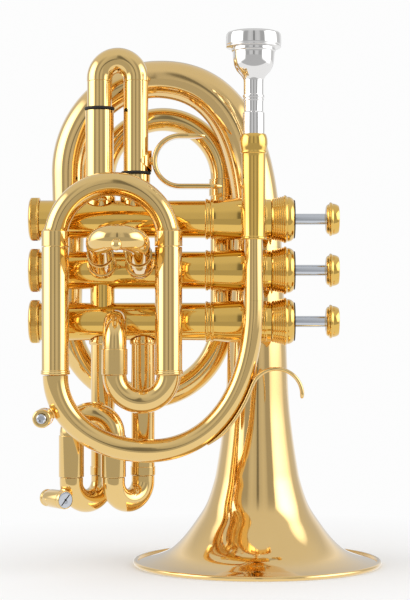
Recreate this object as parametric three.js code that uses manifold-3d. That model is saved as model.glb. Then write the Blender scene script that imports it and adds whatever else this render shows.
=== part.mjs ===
// A pocket trumpet that stands on its bell. Millimetres, +Z up, the valve buttons point along +X,
// and the player's right side faces -Y. Places are measured from the bell's axis at its rim.
import * as THREE from "three";
import { mergeVertices } from "three/addons/utils/BufferGeometryUtils.js";
import Module from "manifold-3d";

const wasm = await Module();
wasm.setup();

// Clearances, cuts and fineness
const seatGap = 0.3; // between pieces that are soldered or seated
const slideGap = 0.35; // all round what slides in a bore
const overrun = 2; // how far a cut runs past what it cuts
const tubeSides = 10;
const turnedSides = 16;
const bellSides = 24;
const portSides = 8;
const bendSag = 0.5; // how far a bend's steps may stand off its arc
const leastBendSteps = 4;
const followSteps = 8;

// Directions
const right = new THREE.Vector3(1, 0, 0);
const left = new THREE.Vector3(-1, 0, 0);
const back = new THREE.Vector3(0, 1, 0);
const front = new THREE.Vector3(0, -1, 0);
const up = new THREE.Vector3(0, 0, 1);
const down = new THREE.Vector3(0, 0, -1);
const quarterTurn = Math.PI / 2;
const halfTurn = Math.PI;

// Planes of the layout, from the bell's axis towards the viewer
const valvePlane = -26;
const leadPlane = -52;
const coilLegPlane = 12;

// Bell
const bellRimRadius = 65;
const bellHeight = 165;
const bellWall = 0.9;
const beadRadius = 1.3;
const beadSides = 8;
// share of the bell's height, share of its rim radius
const bellShares = [
  [0.01, 0.953],
  [0.022, 0.833],
  [0.047, 0.7],
  [0.087, 0.592],
  [0.134, 0.5],
  [0.188, 0.413],
  [0.257, 0.352],
  [0.359, 0.3],
  [0.519, 0.256],
  [0.692, 0.236],
  [1, 0.196],
];

// Bell tail: the big bow, the arc below it and the arch inside
const tailWall = 0.8;
const bowCentreRise = 39; // the height that the bow's left end reaches above the bell
const bowRise = 49.3;
const bowSpan = 98.6;
const bowCrest = 52; // from the bell's axis to the bow's highest point
const bowStartHandle = 60;
const bowCrestHandle = 34;
const bowEndShare = 0.55;
const bowSteps = 12;
const bowCrestOuter = 9.7;
const bowEndOuter = 8.8;
const tailJointDrop = 22.7; // below the middle valve
const tailOuter = 6.8;
const coilOuter = 6.25;
const coilRadius = 40.2;
const jointRingRise = 0.7;
const jointRingLength = 9;
const archRadius = 31.4;
const archOuter = 6.1;
const archElbowRadius = 12;
const archLeg = 11.6;

// Valves, measured along their axes from the bottom caps' outer faces
const valvePitch = 26;
const middleValveDrop = 12.3; // below the bell's joint with its bow
const bellCrossing = 9.5; // from the casings' widest place to the bell's axis
const pistonRadius = 8.1;
const casingOuter = 9.55;
const casingThreadOuter = 9.2;
const lowerCasingEnd = 89.5;
const casingRingOuter = 10.3;
const casingRingLength = 3.5;
const bellyOuter = 10.8;
const bellyRise = 17.5;
const neckOuter = 10.2;
const neckRise = 12;
const neckLength = 3.7;
const topThreadLength = 5.3;
const bottomThreadStart = 1.8;
const bottomCapOuter = 11;
const bottomCapFloor = 1.5;
const bottomCapLength = 5.3;
const bottomCapVent = 2;
const bottomCapRound = 0.9;
const topCapRoof = 2;
const topCapFoot = 10.4;
const topCapBelly = 12.2;
const topCapFlareLength = 6.8;
const topCapShoulder = 11.6;
const topCapShoulderLength = 1.8;
const topCapNose = 9.9;
const topCapNoseLength = 3.1;
const stemRadius = 2.8;
const buttonClearance = 1; // left above the cap when a valve is down
const buttonHeight = 6.6;
const buttonFoot = 7.2;
const buttonRadius = 8.7;
const buttonBellyRise = 2.5;
const buttonTop = 7.9;
const inlayRadius = 6.3;
const inlayDepth = 1.1;
const inlayCrown = 0.4;
const pistonFootRoom = 10.5; // left below the piston when it is down
const pistonTopRoom = 4.7;
const barrelLength = 37;
const barrelWall = 1.4;
const barrelRoof = 2;
const coreRadius = 4.4;
const guideThickness = 3;
const guideWidth = 4;
const valveStroke = 15;
const springWall = 1.5;
const springPlay = 0.4;
const portRadius = 5;
const portRecess = 2.5;

// Tubes between the valves, along their axes
const lowerCrossReach = 37.1;
const upperCrossReach = 53.6;
const crossOuter = 6.15;
const crossWall = 0.8;

// First slide, on top of the first valve
const firstLeftReach = 35.6;
const firstSpacing = 18.5;
const firstLegOuter = 6.3;
const firstCrookOuter = 6.45;
const firstSleeveWall = 0.55;
const firstLeftSleeveLength = 57;
const firstRightSleeveLength = 24.3;
const firstFootRoom = 1.55; // between the casing and the legs' feet
const firstLegShown = 13.1;
const firstBendRise = 1.3;
const stopRingThickness = 1.6;

// Thumb saddle on the first slide's right leg
const saddleRoom = 0.7; // between the right sleeve and the flange
const saddleRadius = 12.8;
const saddleStrip = 2.6;
const saddleWidth = 8;
const saddleLowerArm = 21.4;
const saddleUpperArm = 12.8;
const saddleFlangeHeight = 9;
const saddleFlangeThickness = 1.6;

// Second slide, out of the middle valve towards the viewer
const secondTilt = THREE.MathUtils.degToRad(16);
const secondOffset = 3.65; // from the middle between the tuning slide's legs
const secondSpacing = 19;
const secondLegOuter = 5.2;
const secondSleeveOuter = 6.4;
const secondCrookOuter = 6.1;
const secondSleeveEnd = 27;
const secondLegStart = 12.5;
const secondBendStart = 43;
const knobRadius = 2.75;
const knobStand = 1.9;
const knobNeck = 1.4;

// Third slide, below the third valve, bent twice
const thirdLeftReach = 37.2;
const thirdSpacing = 20.5;
const thirdFrontStep = 12.4;
const thirdLeftStep = 15;
const thirdMiddleStep = 14.5;
const thirdSleeveOuter = 6;
const thirdLegOuter = 5.05;
const thirdCrookOuter = 5.9;
const thirdSleeveLength = 78.1;
const thirdBendDrop = 2.4;
const thirdArchRise = 21.4;
const thirdLegLength = 19.4;

// Leadpipe and main tuning slide
const leadpipeX = -3.3;
const receiverLength = 52.1;
const receiverCollarLength = 9.2;
const receiverCollarOuter = 6.6;
const receiverOuter = 5.8;
const receiverRise = 14.5; // above the middle valve
const receiverRingLength = 1.4;
const receiverRingOuter = 6.2;
const leadpipeRoom = 3.5; // between the leadpipe and the shank's tip
const leadpipeOuter = 4.5;
const leadpipeWall = 0.65;
const leadpipeDrop = 15.7; // below the middle valve
const leadpipeFootOuter = 4.95;
const leadBowReach = 52.3;
const leadBowDepth = 74.2;
const leadBowBottomOuter = 5.75;
const leadBowEndOuter = 6.3;
const leadBowRightShare = 0.62;
const leadBowLeftShare = 0.57;
const tuningLeftReach = 15.3; // along the valves, as their tubes' reaches are
const tuningSpacing = 55.9;
const tuningSleeveLength = 63.1;
const tuningSleeveOuter = 6.75;
const tuningSleeveWall = 0.9;
const tuningRingOuter = 7.3;
const tuningRingLength = 2.2;
const tuningLegOuter = 5.5;
const tuningCrookOuter = 5.9;
const tuningLegLength = 45.8;
const tuningBendRise = 3;
const tuningFerruleOuter = 6.95;
const tuningFerruleLength = 7.6;
const returnSpacing = 26.7;
const returnOuter = 5.95;
const returnFerruleOuter = 6.45;
const returnFerruleLength = 13;
const returnElbowRadius = 12;
const returnLeg = 1.3;
const tubeWall = 0.7;

// Mouthpiece
const shankShown = 11;
const mouthpieceRimRadius = 13.6;
const mouthpieceCupLength = 39.4;
const shankRadius = 5.4;
const shankTipRadius = 4.8;
const shankSeated = 23.8;
const throatRadius = 1.9;
const backboreRadius = 3.9;
// share of the length above the shank, share of the rim radius, from the shank up
const mouthpieceShares = [
  [0, 0.35],
  [0.135, 0.35],
  [0.14, 0.38],
  [0.205, 0.38],
  [0.215, 0.355],
  [0.4, 0.36],
  [0.44, 0.42],
  [0.475, 0.51],
  [0.525, 0.635],
  [0.575, 0.71],
  [0.65, 0.745],
  [0.75, 0.757],
  [0.755, 0.8],
  [0.795, 0.8],
  [0.805, 0.985],
  [0.83, 1],
  [0.955, 1],
  [0.99, 0.94],
  [1, 0.82],
];
// share of the same length, share of the rim radius, from the rim down into the cup
const cupShares = [
  [0.985, 0.67],
  [0.94, 0.62],
  [0.84, 0.56],
  [0.76, 0.42],
  [0.71, 0.22],
];

// Water keys
const keyRadius = 4.6;
const keyLength = 17;
const keyEndRadius = 3.9;
const keyEndLength = 0.9;
const keyButtonRadius = 2.4;
const keyButtonOut = 2.3;
const keyButtonIn = 3.5;
const keyButtonPlay = 2.4;
const keyNeckRadius = 2.6;
const keyNeck = 0.2;
const bowKeyShare = 0.735;
const slideKeyAngle = THREE.MathUtils.degToRad(22);

// Little finger hook
const hookStrip = 2;
const hookWidth = 8;
const hookRadius = 12.8;
const hookLeg = 0.8;
const hookFootStartShare = 0.69;
const hookFootEndShare = 0.34;
const hookFootSteps = 7;
const hookArcSteps = 12;
const hookArcEnd = THREE.MathUtils.degToRad(-8);

// Braces
const braceRadius = 2.4;
const braceFlangeRadius = 4.2;
const braceFlange = 1.2;
const bellBraceRadius = 4;

// Sizes that follow from the ones above
const casingBore = pistonRadius + slideGap;
const capThreadBore = casingThreadOuter + seatGap;
const firstSleeveOuter = firstLegOuter + slideGap + firstSleeveWall;
const thirdBackPlane = valvePlane;
const thirdFrontPlane = valvePlane - thirdFrontStep;
const bellyReach = lowerCasingEnd + bellyRise;
const valveFootX = -bellyReach - bellCrossing;
const tuningLeftX = valveFootX + tuningLeftReach;
const tuningRightX = tuningLeftX + tuningSpacing;
const secondMiddleReach = tuningLeftReach + tuningSpacing / 2 + secondOffset;
const secondLeftReach = secondMiddleReach - secondSpacing / 2;
const bowLeftX = -bowSpan;
const coilLegX = bowLeftX + 2 * coilRadius;
const archLeftX = coilLegX - 2 * archRadius;
const archReach = archLeftX - valveFootX;
const returnLeftX = tuningRightX - returnSpacing;
const returnReach = returnLeftX - valveFootX;
const firstLeftX = valveFootX + firstLeftReach;
const firstRightX = firstLeftX + firstSpacing;
const thirdRightReach = thirdLeftReach + thirdSpacing;
const thirdCrookLeftX = valveFootX + thirdLeftReach - thirdLeftStep;
const thirdCrookMiddleX = valveFootX + thirdRightReach - thirdMiddleStep;
const neckReach = bellyReach + neckRise;
const topSeat = neckReach + neckLength;
const topCapFootReach = topSeat + seatGap;
const topCapBellyReach = topCapFootReach + topCapFlareLength;
const topCapShoulderReach = topCapBellyReach + topCapShoulderLength;
const topCapEnd = topCapShoulderReach + topCapNoseLength;
const buttonSeat = topCapEnd + valveStroke + buttonClearance;
const pistonFoot = bottomCapFloor + valveStroke + pistonFootRoom;
const pistonEnd = topSeat - pistonTopRoom;
const pistonBodyEnd = pistonEnd - barrelLength;
const middleValveHeight = bellHeight - middleValveDrop;
const secondHeading = new THREE.Vector3(0, -Math.cos(secondTilt), Math.sin(secondTilt));

// The three valves, numbered from the mouthpiece end
const valves = [
  {
    number: 1,
    height: middleValveHeight + valvePitch,
    ports: [
      [archReach, back],
      [firstLeftReach, up],
      [firstLeftReach + firstSpacing, up],
      [upperCrossReach, down],
    ],
  },
  {
    number: 2,
    height: middleValveHeight,
    ports: [
      [upperCrossReach, up],
      [secondLeftReach, secondHeading],
      [secondLeftReach + secondSpacing, secondHeading],
      [lowerCrossReach, down],
    ],
  },
  {
    number: 3,
    height: middleValveHeight - valvePitch,
    ports: [
      [lowerCrossReach, up],
      [returnReach, front],
      [thirdLeftReach, down],
      [thirdRightReach, down],
    ],
  },
];
const [firstValve, secondValve, thirdValve] = valves;

// Heights that follow from the valves'
const bowEndHeight = bellHeight + bowCentreRise;
const bowCrestHeight = bowEndHeight + bowRise;
const tailJointHeight = secondValve.height - tailJointDrop;
const coilJointHeight = firstValve.height + archElbowRadius + archLeg - seatGap;
const firstLeftSleeveTop = firstValve.height + firstLeftSleeveLength;
const firstRightSleeveTop = firstValve.height + firstRightSleeveLength;
const firstLegFoot = firstValve.height + casingOuter + firstFootRoom;
const firstSeam = firstLeftSleeveTop + firstLegShown;
const saddleHeight = firstRightSleeveTop + saddleRoom + saddleFlangeHeight / 2;
const thirdSeam = thirdValve.height - thirdSleeveLength;
const thirdArchCentre = thirdSeam + thirdArchRise;
const thirdLegTop = thirdSeam + thirdLegLength;
const receiverFoot = secondValve.height + receiverRise;
const receiverTop = receiverFoot + receiverLength;
const shankTip = receiverTop - shankSeated;
const mouthpieceTop = receiverTop + shankShown + mouthpieceCupLength;
const leadpipeTop = shankTip - leadpipeRoom;
const leadpipeFoot = secondValve.height - leadpipeDrop;
const leadBowBottomX = leadpipeX - leadBowReach;
const leadBowBottom = leadpipeFoot - leadBowDepth;
const returnElbowFoot = thirdValve.height - returnElbowRadius - returnLeg;
const tuningSleeveFoot = returnElbowFoot - returnFerruleLength;
const tuningSleeveTop = tuningSleeveFoot + tuningSleeveLength;
const tuningLegFoot = tuningSleeveTop + seatGap - tuningLegLength;

// Finishes
function finish(color, roughness, metalness) {
  return { color, roughness, metalness };
}
const lacqueredBrass = finish(0xd9a441, 0.14, 1);
const valveBrass = finish(0xdf9f33, 0.12, 1);
const silver = finish(0xd8d8d6, 0.1, 1);
const nickel = finish(0xaeb2b8, 0.18, 1);
const blackRubber = finish(0x151515, 0.7, 0);
const pearl = finish(0xe9e6de, 0.25, 0);
const springSteel = finish(0x9a9ca0, 0.3, 1);

// A closed geometry as a solid that can be joined and cut.
function solidOf(geometry) {
  const bare = geometry.clone();
  bare.deleteAttribute("normal");
  bare.deleteAttribute("uv");
  const merged = mergeVertices(bare);
  const corners = merged.index.array;
  const kept = [];
  for (let i = 0; i < corners.length; i += 3) {
    const [a, b, c] = corners.slice(i, i + 3);
    if (a !== b && b !== c && c !== a) kept.push(a, b, c);
  }
  const vertProperties = merged.attributes.position.array;
  return new wasm.Manifold(
    new wasm.Mesh({ numProp: 3, vertProperties, triVerts: new Uint32Array(kept) }),
  );
}

function geometryOf(solid) {
  const mesh = solid.getMesh();
  const geometry = new THREE.BufferGeometry();
  geometry.setAttribute("position", new THREE.BufferAttribute(mesh.vertProperties, 3));
  geometry.setIndex(new THREE.BufferAttribute(mesh.triVerts, 1));
  return geometry;
}

function addMesh(parent, name, solid, material) {
  const mesh = new THREE.Mesh(geometryOf(solid), new THREE.MeshStandardMaterial(material));
  mesh.name = name;
  parent.add(mesh);
  return mesh;
}

// A solid of revolution about +Z from [radius, height] points, counterclockwise seen with Z up.
function turned(profile, sides = turnedSides) {
  const points = profile.map(([radius, height]) => new THREE.Vector2(radius, height));
  if (profile[0][0] > 0) points.push(points[0].clone());
  return new THREE.LatheGeometry(points, sides).rotateX(quarterTurn);
}

// The same about +X, for everything on a valve's axis.
function turnedAlongValve(profile) {
  return turned(profile).rotateY(quarterTurn);
}

// A round bar from a point along a direction.
function bar(from, direction, radius, length, sides = tubeSides) {
  const turn = new THREE.Quaternion().setFromUnitVectors(back, direction);
  const middle = from.clone().addScaledVector(direction, length / 2);
  return new THREE.CylinderGeometry(radius, radius, length, sides)
    .applyQuaternion(turn)
    .translate(middle.x, middle.y, middle.z);
}

// A bar that runs both ways from a point, for cutting a seat round a tube or a casing.
function seatCutter(middle, direction, radius, reach, sides = tubeSides) {
  const from = middle.clone().addScaledVector(direction, -reach);
  return solidOf(bar(from, direction, radius + seatGap, 2 * reach, sides));
}

function casingCutter(valve, radius = casingOuter) {
  const middle = new THREE.Vector3(valveFootX + lowerCasingEnd, valvePlane, valve.height);
  return seatCutter(middle, right, radius, lowerCasingEnd, turnedSides);
}

// Stations of a tube: a place, a heading, the outer radius and the wall there.
function walk(start, moves) {
  const stations = [start];
  for (const move of moves) stations.push(...move(stations.at(-1)));
  return stations;
}

function straight(length, outer) {
  return (from) => [
    {
      ...from,
      at: from.at.clone().addScaledVector(from.heading, length),
      outer: outer ?? from.outer,
    },
  ];
}

function stepTo(outer, wall) {
  return (from) => [{ ...from, outer, wall: wall ?? from.wall }];
}

// How many steps an arc needs to stay within the sag.
function stepsOf(radius, angle) {
  const step = 2 * Math.acos(1 - bendSag / radius);
  return Math.max(Math.ceil(angle / step), leastBendSteps);
}

// An arc that turns the heading; drift moves it sideways as it goes round.
function bend(radius, towards, angle, outer, drift = new THREE.Vector3()) {
  const steps = stepsOf(radius, angle);
  return (from) => {
    const centre = from.at.clone().addScaledVector(towards, radius);
    return Array.from({ length: steps }, (_, i) => {
      const share = (i + 1) / steps;
      const turn = angle * share;
      const at = centre
        .clone()
        .addScaledVector(towards, -radius * Math.cos(turn))
        .addScaledVector(from.heading, radius * Math.sin(turn))
        .addScaledVector(drift, THREE.MathUtils.smoothstep(share, 0, 1));
      const heading = from.heading
        .clone()
        .multiplyScalar(Math.cos(turn))
        .addScaledVector(towards, Math.sin(turn));
      const swell = THREE.MathUtils.lerp(from.outer, outer ?? from.outer, share);
      return { ...from, at, heading, outer: swell };
    });
  };
}

function follow(curve, outer, steps = followSteps) {
  return (from) =>
    Array.from({ length: steps }, (_, i) => {
      const share = (i + 1) / steps;
      return {
        ...from,
        at: curve.getPoint(share),
        heading: curve.getTangent(share),
        outer: THREE.MathUtils.lerp(from.outer, outer, share),
      };
    });
}

function ringOf(station, radius, side) {
  const other = new THREE.Vector3().crossVectors(station.heading, side);
  return Array.from({ length: tubeSides }, (_, i) => {
    const turn = (i / tubeSides) * 2 * halfTurn;
    return station.at
      .clone()
      .addScaledVector(side, radius * Math.cos(turn))
      .addScaledVector(other, radius * Math.sin(turn));
  });
}

// A tube through its stations, open at both ends. Its corners start in the direction across,
// which is carried from ring to ring so that the tube doesn't twist.
function pipe(stations, across) {
  const carried = [across];
  for (const { heading } of stations) {
    carried.push(carried.at(-1).clone().projectOnPlane(heading).normalize());
  }
  const sides = carried.slice(1);
  const outside = stations.map((station, i) => ringOf(station, station.outer, sides[i]));
  const inside = stations.map((station, i) => {
    return ringOf(station, station.outer - station.wall, sides[i]);
  });
  const rings = [...outside, ...inside.reverse()];
  const index = [];
  for (let row = 0; row < rings.length; row++) {
    const here = row * tubeSides;
    const next = ((row + 1) % rings.length) * tubeSides;
    for (let i = 0; i < tubeSides; i++) {
      const j = (i + 1) % tubeSides;
      index.push(here + i, here + j, next + i, here + j, next + j, next + i);
    }
  }
  const places = new Float32Array(rings.flat().flatMap((point) => point.toArray()));
  const geometry = new THREE.BufferGeometry();
  geometry.setAttribute("position", new THREE.BufferAttribute(places, 3));
  geometry.setIndex(index);
  return solidOf(geometry);
}

// A flat strip bent along points in the XZ plane, as wide as width across Y.
function strip(points, thickness, width) {
  const sides = [1, -1].map((hand) =>
    points.map((point, i) => {
      const before = points[Math.max(i - 1, 0)];
      const after = points[Math.min(i + 1, points.length - 1)];
      const along = after.clone().sub(before).normalize();
      const out = new THREE.Vector2(-along.y, along.x);
      return point.clone().addScaledVector(out, (hand * thickness) / 2);
    }),
  );
  const outline = new THREE.Shape([...sides[0], ...sides[1].reverse()]);
  const options = { depth: width, bevelEnabled: false };
  return new THREE.ExtrudeGeometry(outline, options)
    .rotateX(quarterTurn)
    .translate(0, width / 2, 0);
}

// A U with legs, from the left leg's foot round to the right leg's foot.
function slideCrook({ leftFoot, heading, towards, spacing, leg, crook, seam, bendStart, rightDrop }) {
  const start = { at: leftFoot, heading, outer: leg, wall: tubeWall };
  const rise = bendStart - seam;
  const stations = walk(start, [
    straight(seam),
    stepTo(crook, crook - leg + tubeWall),
    straight(rise),
    bend(spacing / 2, towards, halfTurn),
    straight(rise),
    stepTo(leg, tubeWall),
    straight(seam + (rightDrop ?? 0)),
  ]);
  return pipe(stations, new THREE.Vector3().crossVectors(heading, towards));
}

function bellRadiusAt(height) {
  const share = height / bellHeight;
  const next = bellShares.findIndex(([reach]) => reach >= share);
  const [lowReach, lowRadius] = bellShares[next - 1];
  const [highReach, highRadius] = bellShares[next];
  const part = (share - lowReach) / (highReach - lowReach);
  return bellRimRadius * THREE.MathUtils.lerp(lowRadius, highRadius, part);
}

function bell() {
  const beadCentre = [bellRimRadius - beadRadius, beadRadius * Math.cos(halfTurn / beadSides)];
  const outline = [beadCentre].concat(
    bellShares.map(([height, radius]) => [radius * bellRimRadius, height * bellHeight]),
  );
  const inner = outline.map(([radius, height], i) => {
    const before = outline[Math.max(i - 1, 0)];
    const after = outline[Math.min(i + 1, outline.length - 1)];
    const along = new THREE.Vector2(after[0] - before[0], after[1] - before[1]).normalize();
    const last = i === outline.length - 1;
    if (last) return [radius - bellWall, height];
    return [radius - along.y * bellWall, height + along.x * bellWall];
  });
  const sheet = turned([...outline, ...inner.reverse()], bellSides);
  const bead = Array.from({ length: beadSides }, (_, i) => {
    const turn = ((i + 0.5) / beadSides) * 2 * halfTurn;
    return [
      beadCentre[0] + beadRadius * Math.cos(turn),
      beadCentre[1] + beadRadius * Math.sin(turn),
    ];
  });
  return solidOf(sheet).add(solidOf(turned(bead, bellSides)));
}

function bellBow() {
  const start = {
    at: new THREE.Vector3(0, 0, bellHeight + seatGap),
    heading: up,
    outer: bellRadiusAt(bellHeight),
    wall: tailWall,
  };
  const crest = new THREE.Vector3(-bowCrest, 0, bowCrestHeight);
  const end = new THREE.Vector3(bowLeftX, 0, bowEndHeight);
  const rising = new THREE.CubicBezierCurve3(
    start.at,
    start.at.clone().addScaledVector(up, bowStartHandle),
    crest.clone().addScaledVector(right, bowCrestHandle),
    crest,
  );
  const falling = new THREE.CubicBezierCurve3(
    crest,
    crest.clone().addScaledVector(left, (bowSpan - bowCrest) * bowEndShare),
    end.clone().addScaledVector(up, bowRise * bowEndShare),
    end,
  );
  const stations = walk(start, [
    follow(rising, bowCrestOuter, bowSteps),
    follow(falling, bowEndOuter, bowSteps),
    straight(bowEndHeight - tailJointHeight, tailOuter),
  ]);
  return pipe(stations, back);
}

function coilBow() {
  const start = {
    at: new THREE.Vector3(bowLeftX, 0, tailJointHeight),
    heading: down,
    outer: tailOuter + jointRingRise,
    wall: tailWall + jointRingRise,
  };
  const drift = new THREE.Vector3(0, coilLegPlane, 0);
  const stations = walk(start, [
    straight(jointRingRise),
    stepTo(tailOuter, tailWall),
    bend(coilRadius, right, halfTurn, coilOuter, drift),
    straight(coilJointHeight - tailJointHeight - jointRingLength + jointRingRise),
    stepTo(coilOuter + jointRingRise, tailWall + jointRingRise),
    straight(jointRingLength),
  ]);
  return pipe(stations, back);
}

function coilArch() {
  const start = {
    at: new THREE.Vector3(coilLegX, coilLegPlane, coilJointHeight + seatGap),
    heading: up,
    outer: archOuter,
    wall: tailWall,
  };
  const stations = walk(start, [
    bend(archRadius, left, halfTurn),
    straight(archLeg),
    bend(archElbowRadius, front, quarterTurn),
    straight(coilLegPlane - archElbowRadius - valvePlane),
  ]);
  return pipe(stations, back).subtract(casingCutter(firstValve));
}

function valveCasing(valve) {
  const outline = [
    [casingBore, bottomThreadStart],
    [casingThreadOuter, bottomThreadStart],
    [casingThreadOuter, bottomCapLength + seatGap],
    [casingOuter, bottomCapLength + seatGap],
    [casingOuter, lowerCasingEnd],
    [casingRingOuter, lowerCasingEnd],
    [casingRingOuter, lowerCasingEnd + casingRingLength],
    [bellyOuter, bellyReach],
    [neckOuter, neckReach],
    [neckOuter, topSeat],
    [casingThreadOuter, topSeat],
    [casingThreadOuter, topSeat + topThreadLength],
    [casingBore, topSeat + topThreadLength],
  ];
  let solid = solidOf(turnedAlongValve(outline));
  for (const [reach, direction] of valve.ports) {
    const from = new THREE.Vector3(reach, 0, 0);
    const port = bar(from, direction, portRadius, casingOuter + overrun, portSides);
    solid = solid.subtract(solidOf(port));
  }
  const guide = new THREE.BoxGeometry(guideThickness, 2 * (casingBore + seatGap), guideWidth);
  guide.translate(pistonBodyEnd + slideGap + guideThickness / 2, 0, 0);
  return solid.add(solidOf(guide));
}

function bottomCap() {
  return solidOf(
    turnedAlongValve([
      [bottomCapVent, 0],
      [bottomCapOuter - 2 * bottomCapRound, 0],
      [bottomCapOuter, bottomCapRound],
      [bottomCapOuter, bottomCapLength],
      [capThreadBore, bottomCapLength],
      [capThreadBore, bottomCapFloor],
      [bottomCapVent, bottomCapFloor],
    ]),
  );
}

function topCap() {
  const hole = stemRadius + slideGap;
  return solidOf(
    turnedAlongValve([
      [capThreadBore, topCapFootReach],
      [topCapFoot, topCapFootReach],
      [topCapBelly, topCapBellyReach],
      [topCapShoulder, topCapShoulderReach],
      [topCapNose, topCapEnd],
      [hole, topCapEnd],
      [hole, topCapEnd - topCapRoof],
      [capThreadBore, topCapEnd - topCapRoof],
    ]),
  );
}

function piston(valve) {
  const outside = turnedAlongValve([
    [0, pistonFoot],
    [pistonRadius, pistonFoot],
    [pistonRadius, pistonEnd],
    [0, pistonEnd],
  ]);
  const barrel = turnedAlongValve([
    [0, pistonBodyEnd],
    [pistonRadius - barrelWall, pistonBodyEnd],
    [pistonRadius - barrelWall, pistonEnd - barrelRoof],
    [0, pistonEnd - barrelRoof],
  ]);
  const core = turnedAlongValve([
    [0, pistonFoot - overrun],
    [coreRadius, pistonFoot - overrun],
    [coreRadius, pistonBodyEnd - barrelRoof],
    [0, pistonBodyEnd - barrelRoof],
  ]);
  const slotLength = guideThickness + valveStroke + 2 * slideGap + seatGap;
  const slot = new THREE.BoxGeometry(
    slotLength,
    2 * (pistonRadius + overrun),
    guideWidth + 2 * slideGap,
  );
  slot.translate(pistonBodyEnd + slotLength / 2, 0, 0);
  let solid = solidOf(outside);
  for (const cut of [barrel, core, slot]) solid = solid.subtract(solidOf(cut));
  for (const [reach, direction] of valve.ports) {
    const from = direction.clone().multiplyScalar(pistonRadius - portRecess);
    from.x = reach;
    const port = bar(from, direction, portRadius, portRecess + overrun, portSides);
    solid = solid.subtract(solidOf(port));
  }
  return solid;
}

function valveSpring() {
  const outer = pistonRadius - barrelWall - springPlay;
  const foot = pistonBodyEnd + slideGap + guideThickness + seatGap;
  const end = pistonEnd - barrelRoof - seatGap;
  return solidOf(
    turnedAlongValve([
      [outer - springWall, foot],
      [outer, foot],
      [outer, end],
      [outer - springWall, end],
    ]),
  );
}

function fingerButton() {
  const end = buttonSeat + buttonHeight;
  return solidOf(
    turnedAlongValve([
      [0, pistonEnd + seatGap],
      [stemRadius, pistonEnd + seatGap],
      [stemRadius, buttonSeat],
      [buttonFoot, buttonSeat],
      [buttonRadius, buttonSeat + buttonBellyRise],
      [buttonTop, end],
      [inlayRadius + seatGap, end],
      [inlayRadius + seatGap, end - inlayDepth],
      [0, end - inlayDepth],
    ]),
  );
}

function buttonInlay() {
  const end = buttonSeat + buttonHeight;
  return solidOf(
    turnedAlongValve([
      [0, end - inlayDepth + seatGap],
      [inlayRadius, end - inlayDepth + seatGap],
      [inlayRadius, end],
      [inlayRadius / 2, end + inlayCrown],
      [0, end + inlayCrown],
    ]),
  );
}

function crossover(reach, lower, upper) {
  const start = {
    at: new THREE.Vector3(valveFootX + reach, valvePlane, lower.height),
    heading: up,
    outer: crossOuter,
    wall: crossWall,
  };
  return pipe(walk(start, [straight(upper.height - lower.height)]), back)
    .subtract(casingCutter(lower))
    .subtract(casingCutter(upper));
}

// An outer sleeve from a valve's axis, cut to seat on the casing.
function sleeve(valve, reach, heading, across, outer, wall, length) {
  const at = new THREE.Vector3(valveFootX + reach, valvePlane, valve.height);
  const tube = pipe(walk({ at, heading, outer, wall }, [straight(length)]), across);
  return tube.subtract(casingCutter(valve));
}

function firstSleeve(reach, top) {
  const wall = firstSleeveWall;
  return sleeve(firstValve, reach, up, back, firstSleeveOuter, wall, top - firstValve.height);
}

function firstCrook() {
  return slideCrook({
    leftFoot: new THREE.Vector3(firstLeftX, valvePlane, firstLegFoot),
    heading: up,
    towards: right,
    spacing: firstSpacing,
    leg: firstLegOuter,
    crook: firstCrookOuter,
    seam: firstSeam - firstLegFoot,
    bendStart: firstSeam - firstLegFoot + firstBendRise,
  });
}

function stopRing() {
  const inner = firstLegOuter + slideGap;
  return solidOf(
    turned([
      [inner, 0],
      [firstSleeveOuter, 0],
      [firstSleeveOuter, stopRingThickness],
      [inner, stopRingThickness],
    ], tubeSides),
  );
}

function thumbSaddle() {
  const legEdge = firstRightX + firstLegOuter + seatGap + saddleFlangeThickness;
  const centre = new THREE.Vector2(legEdge + saddleStrip / 2 + saddleRadius, saddleHeight);
  const steps = stepsOf(saddleRadius, halfTurn);
  const arc = Array.from({ length: steps + 1 }, (_, i) => {
    const turn = -quarterTurn - (i / steps) * halfTurn;
    const outwards = new THREE.Vector2(Math.cos(turn), Math.sin(turn));
    return outwards.multiplyScalar(saddleRadius).add(centre);
  });
  const lowerEnd = arc[0].clone();
  lowerEnd.x += saddleLowerArm;
  const upperEnd = arc.at(-1).clone();
  upperEnd.x += saddleUpperArm;
  const wire = strip([lowerEnd, ...arc, upperEnd], saddleStrip, saddleWidth);
  const flange = new THREE.BoxGeometry(
    firstLegOuter + saddleFlangeThickness,
    saddleWidth,
    saddleFlangeHeight,
  );
  const flangeX = legEdge - (firstLegOuter + saddleFlangeThickness - saddleStrip) / 2;
  flange.translate(flangeX, 0, saddleHeight);
  const middle = new THREE.Vector3(firstRightX, 0, saddleHeight);
  return solidOf(wire)
    .add(solidOf(flange))
    .subtract(seatCutter(middle, up, firstLegOuter, saddleFlangeHeight));
}

function secondSleeve(reach) {
  const across = new THREE.Vector3().crossVectors(secondHeading, right);
  const wall = secondSleeveOuter - secondLegOuter - slideGap;
  return sleeve(
    secondValve,
    reach,
    secondHeading,
    across,
    secondSleeveOuter,
    wall,
    secondSleeveEnd,
  );
}

function secondPlace(reach, length) {
  return new THREE.Vector3(valveFootX + reach, valvePlane, secondValve.height).addScaledVector(
    secondHeading,
    length,
  );
}

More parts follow.
